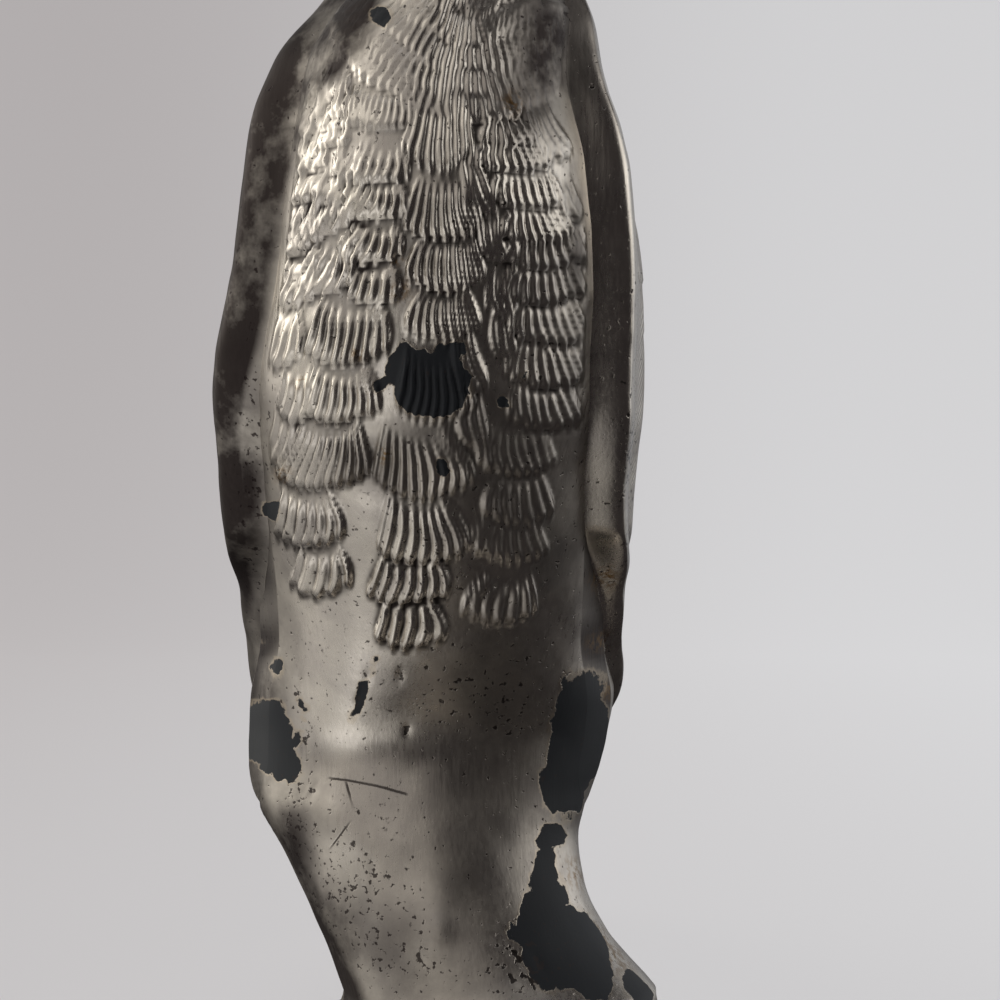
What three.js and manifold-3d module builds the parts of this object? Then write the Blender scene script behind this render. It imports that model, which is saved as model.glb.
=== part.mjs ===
// Metal pheasant figurine: a cock pheasant standing upright on a low cast ground.
// Millimetres, +Z up, origin in the middle of the flat underside, breast towards -Y, tail towards +Y.
import * as THREE from "three";
import { mergeVertices } from "three/addons/utils/BufferGeometryUtils.js";
import Module from "manifold-3d";

// Driving dimensions of the cast body, from the ground to the tip of the beak
const BASE_HALF_WIDTH = 41;
const BASE_HALF_DEPTH = 47;
const BASE_EDGE_HEIGHT = 6;
const STALK_FOOT = 18;
const NECK_FOOT = 138;
const HEAD_FOOT = 168;
const BEAK_TIP = 206;
const WING_COVER = 2.6; // what a wing adds to the bird's width on each side

// Left and right edge of the bird as seen from the front: [height, x], wings included
const LEFT_EDGE = [
  [18, -17.6], [25, -20.2], [34.5, -24.8], [41, -28.6], [47.5, -30], [55, -30.4], [65, -30.5], [77, -31.3],
  [86, -31.8], [100, -28.9], [116, -26], [122, -24.2], [132, -16.8], [145, -14], [158, -11.6], [168, -11],
];
const RIGHT_EDGE = [
  [18, 20], [25, 14], [31, 11.3], [36, 10.7], [41, 12.2], [47.5, 14.9], [54, 16.2], [64, 16.7],
  [76.8, 16.9], [86, 17.7], [98, 17.6], [111, 16], [118.5, 13.9], [126, 12.4], [132.3, 9.6], [145, 6.6],
  [158, 4.6], [168, 4],
];
// How far the wings cover the sides: 0 is bare body, 1 is under the wing
const WINGED = [[44, 0], [52, 0.35], [60, 1], [118, 1], [130, 0.6], [139, 0.45], [147, 0]];

// The ground by station: negative stations run up its edge and over its top
const GROUND_REACH = [[-60, 0.965], [-58.5, 1], [-54, 1], [-51, 0.965], [-38, 0.8], [-20, 0.6]];
const GROUND_HEIGHT = [
  [-60, 0], [-58.5, 1.2], [-54, 4.2], [-51, BASE_EDGE_HEIGHT],
  [-38, 8], [-20, 11], [0, 14.5], [18, STALK_FOOT],
];
const GROUND_TOP_STATION = -20;
const SPREAD_EASE = [1.6, 0.6]; // the bird spreads into the ground by spread^2 (1.6 - 0.6 spread)

// Lumps of the ground: their height, where they begin and end, and the turn per millimetre of each wave
const GROUND_LUMPS = 0.9;
const LUMPS_BEGIN = [-50, -30];
const LUMPS_END = [-5, 15];
const BROAD_WAVES = { x: 0.19, y: 0.16, shift: 1 };
const SHORT_WAVES = { x: 0.1, y: 0.35, share: 0.5 };

const HEAD_HALF_WIDTH = [
  [168, 7], [176, 8], [184, 8.2], [190, 6.8], [194, 4.4], [198, 3.1], [203, 2], [206, 0.5],
];

// Middle line of the figure by station: depth, then height and forward tilt where the neck bends forward
const MIDDLE_DEPTH = [
  [0, 0], [18, -1], [24, -1], [36, 0], [48, 3], [60, 1], [75, -4], [88, -9], [105, -14.5], [120, -19],
  [136, -23.5], [150, -24.5], [168, -22.5], [176, -25.4], [185, -33.2], [195, -43], [206, -52.5],
];
const MIDDLE_HEIGHT = [
  [18, 18], [168, 168], [176, 174.8], [185, 178.2], [195, 177.2], [201, 175.6], [206, 172.8],
];
const TILT_DEGREES = [[160, 0], [168, 12], [176, 48], [185, 82], [195, 94], [206, 112]];

// Depth of the section in front of and behind the middle line, by station
const FRONT_DEPTH = [
  [18, 19], [24, 16.5], [36, 14.5], [48, 16], [60, 20.5], [75, 25], [88, 27], [105, 27], [112, 25.5],
  [120, 22], [136, 13.5], [150, 9], [168, 6.8], [176, 6], [185, 6.6], [191, 5.4], [195, 3.4], [201, 2.1],
  [206, 0.4],
];
const BACK_DEPTH = [
  [18, 21], [24, 18], [36, 15.5], [48, 18], [60, 25], [75, 28], [88, 27], [105, 24], [120, 19],
  [136, 13], [150, 9.2], [168, 8.2], [174, 10], [180, 10.3], [186, 9], [191, 6.8], [195, 4.2], [201, 2.6],
  [206, 0.4],
];

// Chased breast feathers: tufts in four columns, each tuft a rounded scale with its tip hanging down
const TUFT_RELIEF = 1.1;
const TUFT_TIP_CURVE = 0.45; // how far the sides of a tip draw up, as a share of the pitch
const TUFT_LENGTH = 1.3; // a tuft's length in pitches
const TUFT_TIP_LENGTH = 0.25; // the rise from the tip to full height, in pitches
const TUFT_SIDE_LOSS = 0.3; // how much lower a tuft is at its sides
const WING_MARGIN = 4; // degrees of bare breast between the tufts and a wing
const TUFT_COLUMNS = [
  { x: -23, width: 9, firstTip: 108, pitch: 8, count: 5, lean: 0 },
  { x: -15.5, width: 9.5, firstTip: 112, pitch: 8, count: 7, lean: 0 },
  { x: -5.5, width: 11, firstTip: 115, pitch: 8, count: 8, lean: 0.08 },
  { x: 5.5, width: 11, firstTip: 112, pitch: 6.4, count: 8, lean: 0 },
];

// Head
const EYE = { y: -36, z: 181, radius: 1.9, height: 1 };
const CHEEK = { y: -35, z: 177.5, radius: 4.8, height: 0.6 };
const EAR_TUFT = { y: -24.5, z: 186, radius: 2.2, height: 1.6 };
const HEAD_SIDE = 0.5; // the forms of the head lie where the sine of the angle is larger
const COLLAR = { height: 150, width: 2.2, relief: 0.5 };

// Folded wings, as patches that lie on the sides of the body
const WING_TOP = 139;
const WING_TIP = 43;
const WING_GAP = 0.3;
const WING_SEAT = 1; // how deep the blank wing reaches before it is cut to the body
const WING_THICKNESS = 1.8;
const WING_ROLL = 1.7; // the front edge is this much thicker than the rest
const WING_ROLL_WIDTH = 4.5;
const WING_ROLL_END = [64, 72];
const SHOULDER = [114, 130];
const WING_TOP_SHARE = 0.4; // the wing thins to this share above the shoulder
const WING_EDGE_RADIUS = 2.2;
const WING_CROWN = 1.1; // a wing's width over the straight distance between its edges
const WING_FRONT_ANGLE = [
  [43, 125], [50, 104], [58, 84], [66, 70], [73, 56], [90, 54], [120, 57], [131, 66], [139, 80],
];
const WING_BACK_ANGLE = [
  [43, 127], [48, 139], [60, 146], [80, 149], [105, 144], [122, 133], [132, 113], [139, 82],
];
const QUILLS = 5; // long feathers side by side on the lower wing
const QUILL_RELIEF = 1;
const COVERT_LENGTH = 9;
const COVERT_ROWS = 4; // short feathers in rows on the upper wing
const COVERT_RELIEF = 1;
const QUILLS_BEGIN = [0.4, 0.5]; // where coverts give way to quills, as shares of the wing's length

// Tail, a long narrow roof of feathers: where its middle runs and its half sizes, along its length from 0
// to 1. Its width steps in where the shorter outer feathers end.
const TAIL_DEPTH = [[0, 10], [0.1, 24], [0.22, 42], [0.4, 70], [0.6, 98], [0.8, 127], [1, 156]];
const TAIL_HEIGHT = [[0, 70], [0.1, 64], [0.22, 58], [0.4, 48.5], [0.6, 36], [0.8, 23], [1, 9]];
const TAIL_SWEEP = [[0, -7], [0.3, -6.5], [0.6, -3.5], [1, 3]];
const TAIL_HALF_WIDTH = [
  [0, 16], [0.1, 15.5], [0.22, 14], [0.4, 12.6], [0.46, 11.4], [0.5, 9.4],
  [0.62, 8.6], [0.7, 7.4], [0.74, 5.6], [0.86, 4.4], [0.95, 2.6], [1, 0.9],
];
const TAIL_ABOVE = [[0, 14], [0.1, 10], [0.22, 6], [0.4, 4], [0.6, 3], [0.8, 2.1], [1, 0.7]];
const TAIL_BELOW = [[0, 12], [0.1, 9], [0.22, 5], [0.4, 2.2], [0.6, 1.6], [0.8, 1.2], [1, 0.5]];

// How finely the faces are laid
const AROUND_FRONT = 28;
const AROUND_REST = 16;
const FRONT_SPAN = THREE.MathUtils.degToRad(118);
const STATION_RUNS = [
  [-60, -51, 3], [-51, 18, 5], [18, 48, 5], [48, 116, 32], [116, 136, 6], [136, 168, 6], [168, 206, 12],
];
const WING_EDGE_SHARE = 0.035; // the first and last strip of a wing, as a share of its width
const FEATHER_STEP = 0.35; // millimetres over which one row of feathers steps down to the next
const QUILL_STEP = 0.012; // the same between two quills, as a share of the wing's width
const QUILL_ROWS = [94, 86, 78, 70, 63, 56, 50, 46, WING_TIP + 1]; // stations of the rows below the coverts
const TAIL_ROWS = 25;
const TAIL_SIDES = 12;
const TURN_STEP = 0.01; // short steps for directions on a surface: an angle, a station, a share of the tail
const RISE_STEP = 0.25;
const TAIL_STEP = 0.01;
const WELD = 1e-5;

const plate = (color, roughness) => new THREE.MeshStandardMaterial({ color, roughness, metalness: 1 });
const silver = plate(0x9c948a, 0.32);
const wingSilver = plate(0x8f8880, 0.3);

// A smooth curve through [place, value] keys that never overshoots them (monotone cubic)
function through(keys) {
  const last = keys.length - 1;
  const step = keys.slice(1).map(([t], i) => t - keys[i][0]);
  const rise = keys.slice(1).map(([, v], i) => (v - keys[i][1]) / step[i]);
  const slope = keys.map((_, i) => {
    if (i === 0 || i === last) return rise[i === 0 ? 0 : last - 1];
    const [before, after] = [rise[i - 1], rise[i]];
    if (before * after <= 0) return 0;
    const [near, far] = [2 * step[i] + step[i - 1], step[i] + 2 * step[i - 1]];
    return (near + far) / (near / before + far / after);
  });
  return (place) => {
    const t = THREE.MathUtils.clamp(place, keys[0][0], keys[last][0]);
    let i = 0;
    while (i < last - 1 && t > keys[i + 1][0]) i += 1;
    const u = (t - keys[i][0]) / step[i];
    const rising = u * u * (3 - 2 * u);
    const entry = u * (1 - u) * (1 - u) * step[i] * slope[i];
    const exit = u * u * (u - 1) * step[i] * slope[i + 1];
    return keys[i][1] * (1 - rising) + keys[i + 1][1] * rising + entry + exit;
  };
}

const leftEdge = through(LEFT_EDGE);
const rightEdge = through(RIGHT_EDGE);
const winged = through(WINGED);
const groundReach = through(GROUND_REACH);
const groundHeight = through(GROUND_HEIGHT);
const headHalfWidth = through(HEAD_HALF_WIDTH);
const middleDepth = through(MIDDLE_DEPTH);
const middleHeight = through(MIDDLE_HEIGHT);
const tiltDegrees = through(TILT_DEGREES);
const frontDepth = through(FRONT_DEPTH);
const backDepth = through(BACK_DEPTH);
const wingFrontAngle = through(WING_FRONT_ANGLE);
const wingBackAngle = through(WING_BACK_ANGLE);

// The section at a station: its middle, its half width, its depths and how far it tips forward
function section(station) {
  const birdStation = Math.max(station, STALK_FOOT);
  const cover = WING_COVER * winged(birdStation);
  const left = leftEdge(birdStation) + cover;
  const right = rightEdge(birdStation) - cover;
  const bird = {
    x: (left + right) / 2,
    y: middleDepth(birdStation),
    z: middleHeight(birdStation),
    halfWidth: station > HEAD_FOOT ? headHalfWidth(station) : (right - left) / 2,
    front: frontDepth(birdStation),
    back: backDepth(birdStation),
    tilt: THREE.MathUtils.degToRad(tiltDegrees(birdStation)),
  };
  if (station >= STALK_FOOT) return bird;
  // Below the stalk the section spreads into the ground's oval
  const spread = THREE.MathUtils.clamp((STALK_FOOT - station) / (STALK_FOOT - GROUND_TOP_STATION), 0, 1);
  const ease = spread * spread * (SPREAD_EASE[0] - SPREAD_EASE[1] * spread);
  const reach = groundReach(station);
  const mix = (from, to) => from + (to - from) * ease;
  return {
    x: mix(bird.x, 0),
    y: mix(bird.y, 0),
    z: groundHeight(station),
    halfWidth: mix(bird.halfWidth, BASE_HALF_WIDTH * reach),
    front: mix(bird.front, BASE_HALF_DEPTH * reach),
    back: mix(bird.back, BASE_HALF_DEPTH * reach),
    tilt: 0,
  };
}

// A point of the smooth figure: angle 0 faces the front and 90 degrees the +X side
function smoothPoint(angle, station) {
  const s = section(station);
  const across = Math.sin(angle) * s.halfWidth;
  const ahead = Math.cos(angle) * (Math.cos(angle) > 0 ? s.front : s.back);
  return new THREE.Vector3(s.x + across, s.y - ahead * Math.cos(s.tilt), s.z - ahead * Math.sin(s.tilt));
}

// The outward direction there, across two short steps on the surface
function outward(angle, station) {
  const around = smoothPoint(angle + TURN_STEP, station).sub(smoothPoint(angle - TURN_STEP, station));
  const up = smoothPoint(angle, station + RISE_STEP).sub(smoothPoint(angle, station - RISE_STEP));
  return around.cross(up).normalize();
}

// Height of one tuft: thickest at its rounded lower tip and thinner upwards, lower at its sides
function oneTuft(across, upward) {
  const above = upward - TUFT_TIP_CURVE * across * across;
  if (Math.abs(across) > 1 || above < 0 || above > TUFT_LENGTH) return 0;
  const tipRise = Math.min(1, above / TUFT_TIP_LENGTH);
  return TUFT_RELIEF * tipRise * (1 - above / TUFT_LENGTH) * (1 - TUFT_SIDE_LOSS * across * across);
}

// Height of all tufts at a place of the breast: the highest of them
function tuftRelief(x, z) {
  let relief = 0;
  for (const column of TUFT_COLUMNS) {
    for (let i = 0; i < column.count; i += 1) {
      const tip = column.firstTip - column.pitch * i;
      const middle = column.x + column.lean * (tip - column.firstTip);
      relief = Math.max(relief, oneTuft((x - middle) / (column.width / 2), (z - tip) / column.pitch));
    }
  }
  return relief;
}

// A soft round swelling of the given radius
const swelling = (distance, radius, height) => height * Math.exp(-((distance / radius) ** 2));

function headRelief(point) {
  return [EYE, CHEEK, EAR_TUFT]
    .map((form) => swelling(Math.hypot(point.y - form.y, point.z - form.z), form.radius, form.height))
    .reduce((sum, height) => sum + height);
}

// Low uneven ground, flat again towards its edge
function groundRelief(point, station) {
  const begun = THREE.MathUtils.smoothstep(station, ...LUMPS_BEGIN);
  const inside = begun * (1 - THREE.MathUtils.smoothstep(station, ...LUMPS_END));
  const broad = Math.sin(point.x * BROAD_WAVES.x + BROAD_WAVES.shift) * Math.cos(point.y * BROAD_WAVES.y);
  const short = SHORT_WAVES.share * Math.sin(point.y * SHORT_WAVES.y + point.x * SHORT_WAVES.x);
  return GROUND_LUMPS * inside * (broad + short);
}

// A point of the modelled casting, moved outward from the smooth figure by its relief and a swell
function bodyPoint(angle, station, swell) {
  const point = smoothPoint(angle, station);
  const bareAngle = THREE.MathUtils.degToRad(wingFrontAngle(station) - WING_MARGIN);
  const bare = Math.cos(angle) > Math.cos(bareAngle);
  let relief = swell + swelling(station - COLLAR.height, COLLAR.width, COLLAR.relief);
  if (station < STALK_FOOT) relief += groundRelief(point, station);
  if (station > HEAD_FOOT && Math.abs(Math.sin(angle)) > HEAD_SIDE) relief += headRelief(point);
  if (station > WING_TIP && station < NECK_FOOT && bare) relief += tuftRelief(point.x, point.z);
  return point.addScaledVector(outward(angle, station), relief);
}

// Joins a grid of points, closed around each row, into one body with a point at each end
function closedLoft(rows, firstEnd, lastEnd) {
  const sides = rows[0].length;
  const points = [...rows.flat(), firstEnd, lastEnd];
  const [first, last] = [points.length - 2, points.length - 1];
  const faces = [];
  for (let j = 0; j < sides; j += 1) {
    const next = (j + 1) % sides;
    for (let i = 0; i < rows.length - 1; i += 1) {
      const [a, b] = [i * sides + j, i * sides + next];
      const [c, d] = [a + sides, b + sides];
      faces.push(a, b, d, a, d, c);
    }
    faces.push(first, next, j);
    const end = (rows.length - 1) * sides;
    faces.push(last, end + j, end + next);
  }
  return geometryOf(points, faces);
}

function geometryOf(points, faces) {
  const geometry = new THREE.BufferGeometry();
  geometry.setAttribute("position", new THREE.Float32BufferAttribute(points.flatMap((p) => p.toArray()), 3));
  geometry.setIndex(faces);
  return geometry;
}

// Angles round a section, closer together over the breast
function anglesAround() {
  const restSpan = 2 * Math.PI - FRONT_SPAN;
  const front = Array.from({ length: AROUND_FRONT }, (_, i) => FRONT_SPAN * (i / AROUND_FRONT - 0.5));
  const rest = Array.from({ length: AROUND_REST }, (_, i) => FRONT_SPAN / 2 + (restSpan * i) / AROUND_REST);
  return [...front, ...rest];
}

function stationsAlong() {
  const stations = STATION_RUNS.flatMap(([from, to, count]) =>
    Array.from({ length: count }, (_, i) => from + ((to - from) * i) / count),
  );
  return [...stations, BEAK_TIP];
}

// The body, or the same body swollen all round by a clearance
function castBody(swell) {
  const angles = anglesAround();
  const rows = stationsAlong().map((station) => angles.map((angle) => bodyPoint(angle, station, swell)));
  const tip = section(BEAK_TIP);
  return closedLoft(rows, new THREE.Vector3(0, 0, 0), new THREE.Vector3(tip.x, tip.y, tip.z));
}

const tailDepth = through(TAIL_DEPTH);
const tailHeight = through(TAIL_HEIGHT);
const tailSweep = through(TAIL_SWEEP);
const tailHalfWidth = through(TAIL_HALF_WIDTH);
const tailAbove = through(TAIL_ABOVE);
const tailBelow = through(TAIL_BELOW);

// One row of the tail: a low roof with a ridge above, nearly flat below, square to the way the tail runs
function tailRow(along, swell) {
  const middle = new THREE.Vector3(tailSweep(along), tailDepth(along), tailHeight(along));
  const run = tailDepth(along + TAIL_STEP) - tailDepth(along - TAIL_STEP);
  const fall = tailHeight(along + TAIL_STEP) - tailHeight(along - TAIL_STEP);
  const up = new THREE.Vector3(0, -fall, run).normalize();
  return Array.from({ length: TAIL_SIDES }, (_, j) => {
    const angle = (2 * Math.PI * j) / TAIL_SIDES;
    const rise = (Math.sin(angle) > 0 ? tailAbove(along) : tailBelow(along)) + swell;
    const point = middle.clone().addScaledVector(up, Math.sin(angle) * rise);
    point.x -= Math.cos(angle) * (tailHalfWidth(along) + swell);
    return point;
  });
}

// The tail, or the same tail swollen all round by a clearance
function castTail(swell) {
  const rows = Array.from({ length: TAIL_ROWS + 1 }, (_, i) => tailRow(i / TAIL_ROWS, swell));
  const middleOf = (row) => row.reduce((sum, p) => sum.add(p), new THREE.Vector3()).divideScalar(row.length);
  return closedLoft(rows, middleOf(rows[0]), middleOf(rows[TAIL_ROWS]));
}

// Relief of the wing's feathers: overlapping coverts above, long quills below, each a low step
function wingFeathers(station, across) {
  const downward = (WING_TOP - station) / (WING_TOP - WING_TIP);
  const quills = QUILL_RELIEF * ((across * QUILLS) % 1);
  const coverts = COVERT_RELIEF * (((WING_TOP - station) / COVERT_LENGTH) % 1);
  const change = THREE.MathUtils.smoothstep(downward, ...QUILLS_BEGIN);
  return coverts * (1 - change) + quills * change;
}

// A point over the side of the body, at a share of the way from the wing's front edge to its back edge.
// Side 1 is the bird's own left, towards +X, and -1 its right.
function wingPoint(side, station, across, lift) {
  const [from, to] = [wingFrontAngle(station), wingBackAngle(station)];
  const angle = side * THREE.MathUtils.degToRad(from + (to - from) * across);
  return smoothPoint(angle, station).addScaledVector(outward(angle, station), WING_GAP + lift);
}

// How thick a wing is: rounded off to its edges, rolled along its front and thin above the shoulder
function wingThickness(side, station, across) {
  const reach = wingPoint(side, station, 0, 0).distanceTo(wingPoint(side, station, 1, 0));
  const width = WING_CROWN * reach;
  const end = Math.min(WING_TOP - station, station - WING_TIP);
  const edge = Math.min(across * width, (1 - across) * width, end);
  const inner = Math.min(1, edge / WING_EDGE_RADIUS);
  const round = Math.sqrt(1 - (1 - inner) ** 2);
  const shoulder = 1 - (1 - WING_TOP_SHARE) * THREE.MathUtils.smoothstep(station, ...SHOULDER);
  const rolled = THREE.MathUtils.smoothstep(station, ...WING_ROLL_END);
  const roll = rolled * swelling(across * width, WING_ROLL_WIDTH, WING_ROLL);
  return shoulder * (round * (WING_THICKNESS + roll) + inner * wingFeathers(station, across));
}

// Columns of a wing, as shares of its width: two at each step between quills, and two at each edge
function wingColumns() {
  const steps = Array.from({ length: QUILLS - 1 }, (_, i) => (i + 1) / QUILLS);
  const pairs = steps.flatMap((step) => [step - QUILL_STEP, step + QUILL_STEP]);
  return [0, WING_EDGE_SHARE, ...pairs, 1 - WING_EDGE_SHARE, 1];
}

// Stations of a wing's rows from its top down: in each row of coverts its beginning, its middle and its end
function wingStations() {
  const covertRows = Array.from({ length: COVERT_ROWS }, (_, i) => WING_TOP - COVERT_LENGTH * i);
  const half = COVERT_LENGTH / 2;
  const coverts = covertRows.flatMap((top) => [
    top - FEATHER_STEP,
    top - half,
    top - COVERT_LENGTH + FEATHER_STEP,
  ]);
  return [...coverts, ...QUILL_ROWS];
}

// A wing before it is fitted to the body: one closed ring per row, over the outer face from front to back and
// back along the inner face
function foldedWing(side) {
  const columns = wingColumns();
  const innerColumns = columns.filter((_, i) => i % 2 === 1).reverse();
  const rings = wingStations().reverse().map((station) => {
    const thickness = (across) => wingThickness(side, station, across);
    const outer = columns.map((across) => wingPoint(side, station, across, thickness(across)));
    const inner = innerColumns.map((across) => wingPoint(side, station, across, -WING_SEAT));
    const ring = [...outer, ...inner];
    return side > 0 ? ring : ring.reverse();
  });
  const middle = 0.5;
  return closedLoft(rings, wingPoint(side, WING_TIP, middle, 0), wingPoint(side, WING_TOP, middle, 0));
}

const wasm = await Module();
wasm.setup();

function solidOf(geometry) {
  const merged = mergeVertices(geometry, WELD);
  const vertProperties = new Float32Array(merged.attributes.position.array);
  const triVerts = new Uint32Array(merged.index.array);
  return new wasm.Manifold(new wasm.Mesh({ numProp: 3, vertProperties, triVerts }));
}

function geometryOfSolid(solid) {
  const mesh = solid.getMesh();
  const geometry = new THREE.BufferGeometry();
  geometry.setAttribute("position", new THREE.BufferAttribute(new Float32Array(mesh.vertProperties), 3));
  geometry.setIndex(new THREE.BufferAttribute(new Uint32Array(mesh.triVerts), 1));
  return geometry;
}

function piece(name, geometry, material) {
  const mesh = new THREE.Mesh(geometry, material);
  mesh.name = name;
  return mesh;
}

// The casting with its tail in one, and the wings, which are cut to the casting with a clearance all round
const casting = (swell) => solidOf(castBody(swell)).add(solidOf(castTail(swell)));
const clearance = casting(WING_GAP);
const larger = (one, other) => (other.volume() > one.volume() ? other : one);
const largest = (solid) => solid.decompose().reduce(larger);
const seatedWing = (side) => largest(solidOf(foldedWing(side)).subtract(clearance));

const pheasant = new THREE.Group();
pheasant.add(piece("body", geometryOfSolid(casting(0)), silver));
pheasant.add(piece("left_wing", geometryOfSolid(seatedWing(1)), wingSilver));
pheasant.add(piece("right_wing", geometryOfSolid(seatedWing(-1)), wingSilver));

export default pheasant;
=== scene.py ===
from math import radians

import bpy
import numpy as np
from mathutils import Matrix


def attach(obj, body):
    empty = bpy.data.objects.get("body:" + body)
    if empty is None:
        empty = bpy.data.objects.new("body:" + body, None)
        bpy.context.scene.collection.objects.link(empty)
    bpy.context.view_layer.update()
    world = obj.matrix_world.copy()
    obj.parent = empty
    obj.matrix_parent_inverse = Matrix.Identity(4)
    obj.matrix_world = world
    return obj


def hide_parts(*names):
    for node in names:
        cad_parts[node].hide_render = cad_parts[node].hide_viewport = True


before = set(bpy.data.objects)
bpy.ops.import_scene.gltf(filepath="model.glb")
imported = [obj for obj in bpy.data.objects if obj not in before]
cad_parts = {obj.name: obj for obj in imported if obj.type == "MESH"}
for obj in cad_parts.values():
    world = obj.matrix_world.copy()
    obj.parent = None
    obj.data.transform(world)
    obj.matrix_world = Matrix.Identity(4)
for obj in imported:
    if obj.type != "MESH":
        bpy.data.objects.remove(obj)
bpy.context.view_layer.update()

bl_info = {
    "name": "Metal Pheasant Figurine",
    "version": (1, 0, 0),
    "blender": (4, 5, 0),
    "location": "3D View > Sidebar > Pheasant",
    "description": "A silver-plated cast cock pheasant with a chased breast, folded wings and a long tail",
    "category": "Add Mesh",
}

MM = 0.001

# Sizes of the casting in millimetres. Stations run up the figure from the ground's edge to the tip of the beak.
BASE_HALF_WIDTH = 41
BASE_HALF_DEPTH = 47
STALK_FOOT = 18
NECK_FOOT = 138
HEAD_FOOT = 168
BEAK_TIP = 206
GROUND_START = -60
GROUND_TOP_STATION = -20
GROUND_LUMPS = 0.9
WING_COVER = 2.6
LEFT_EDGE = (
    (18, -17.6), (25, -20.2), (34.5, -24.8), (41, -28.6), (47.5, -30), (55, -30.4), (65, -30.5), (77, -31.3),
    (86, -31.8), (100, -28.9), (116, -26), (122, -24.2), (132, -16.8), (145, -14), (158, -11.6), (168, -11),
)
RIGHT_EDGE = (
    (18, 20), (25, 14), (31, 11.3), (36, 10.7), (41, 12.2), (47.5, 14.9), (54, 16.2), (64, 16.7), (76.8, 16.9),
    (86, 17.7), (98, 17.6), (111, 16), (118.5, 13.9), (126, 12.4), (132.3, 9.6), (145, 6.6), (158, 4.6), (168, 4),
)
WINGED = ((44, 0), (52, 0.35), (60, 1), (118, 1), (130, 0.6), (139, 0.45), (147, 0))
GROUND_REACH = ((-60, 0.965), (-58.5, 1), (-54, 1), (-51, 0.965), (-38, 0.8), (-20, 0.6))
GROUND_HEIGHT = ((-60, 0), (-58.5, 1.2), (-54, 4.2), (-51, 6), (-38, 8), (-20, 11), (0, 14.5), (18, 18))
HEAD_HALF_WIDTH = ((168, 7), (176, 8), (184, 8.2), (190, 6.8), (194, 4.4), (198, 3.1), (203, 2), (206, 0.5))
MIDDLE_DEPTH = (
    (0, 0), (18, -1), (24, -1), (36, 0), (48, 3), (60, 1), (75, -4), (88, -9), (105, -14.5), (120, -19),
    (136, -23.5), (150, -24.5), (168, -22.5), (176, -25.4), (185, -33.2), (195, -43), (206, -52.5),
)
MIDDLE_HEIGHT = ((18, 18), (168, 168), (176, 174.8), (185, 178.2), (195, 177.2), (201, 175.6), (206, 172.8))
TILT_DEGREES = ((160, 0), (168, 12), (176, 48), (185, 82), (195, 94), (206, 112))
FRONT_DEPTH = (
    (18, 19), (24, 16.5), (36, 14.5), (48, 16), (60, 20.5), (75, 25), (88, 27), (105, 27), (112, 25.5), (120, 22),
    (136, 13.5), (150, 9), (168, 6.8), (176, 6), (185, 6.6), (191, 5.4), (195, 3.4), (201, 2.1), (206, 0.4),
)
BACK_DEPTH = (
    (18, 21), (24, 18), (36, 15.5), (48, 18), (60, 25), (75, 28), (88, 27), (105, 24), (120, 19), (136, 13),
    (150, 9.2), (168, 8.2), (174, 10), (180, 10.3), (186, 9), (191, 6.8), (195, 4.2), (201, 2.6), (206, 0.4),
)

# Head: the eye's place (y, z) and parts, and soft forms as (y, z, radius, height)
EYE_PLACE = (-36, 181)
EYEBALL_RADIUS = 1.6
EYEBALL_HEIGHT = 0.95
EYE_RING_RADIUS = 2.1
EYE_RING_HEIGHT = 0.6
WATTLE_RADIUS = 5.2
CHEEK = (-35, 177.5, 4.8, 0.6)
EAR_TUFT = (-24.5, 186, 2.2, 1.6)
COLLAR_HEIGHT = 150
COLLAR_WIDTH = 2.2

# Folded wings
WING_TOP = 139
WING_TIP = 43
WING_GAP = 0.3
WING_THICKNESS = 1.8
WING_ROLL = 1.7
WING_ROLL_WIDTH = 4.5
WING_ROLL_END = 68
WING_RISE = {1: 3.4, -1: 6.0}
WING_SUNK = 0.6
WING_INNER_DROP = 0.2
FEATHERS_BEHIND_ROLL = (13, 17)
WING_EDGE_RADIUS = 2.2
SHOULDER = 114
WING_TOP_SHARE = 0.4
WING_FRONT_ANGLE = (
    (43, 125), (50, 104), (58, 84), (66, 70), (73, 56), (90, 54), (120, 57), (131, 66), (139, 80),
)
WING_BACK_ANGLE = ((43, 127), (48, 139), (60, 146), (80, 149), (105, 144), (122, 133), (132, 113), (139, 82))
QUILLS = 5
QUILL_RELIEF = 1.0
COVERT_LENGTH = 9
COVERT_RELIEF = 0.8
SHAFT_PLACE = 0.35

# Tail, by its length from 0 to 1
TAIL_DEPTH = ((0, 10), (0.1, 24), (0.22, 42), (0.4, 70), (0.6, 98), (0.8, 127), (1, 156))
TAIL_HEIGHT = ((0, 70), (0.1, 64), (0.22, 58), (0.4, 48.5), (0.6, 36), (0.8, 23), (1, 9))
TAIL_SWEEP = ((0, -7), (0.3, -6.5), (0.6, -3.5), (1, 3))
TAIL_HALF_WIDTH = (
    (0, 16), (0.1, 15.5), (0.22, 14), (0.4, 12.6), (0.46, 11.4), (0.5, 9.4),
    (0.62, 8.6), (0.7, 7.4), (0.74, 5.6), (0.86, 4.4), (0.95, 2.6), (1, 0.9),
)
TAIL_ABOVE = ((0, 14), (0.1, 10), (0.22, 6), (0.4, 4), (0.6, 3), (0.8, 2.1), (1, 0.7))
TAIL_BELOW = ((0, 12), (0.1, 9), (0.22, 5), (0.4, 2.2), (0.6, 1.6), (0.8, 1.2), (1, 0.5))
TAIL_LENGTH = 159
# Its feathers from the middle outwards: half width of each pair and where its shaft lies, in millimetres
TAIL_PAIRS = ((4.6, 0.0), (8.6, 6.6), (13.0, 10.8))
TAIL_COVERTS_END = 0.27
BAR_PITCH = 8.0
BARB_PITCH = 0.9

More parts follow.
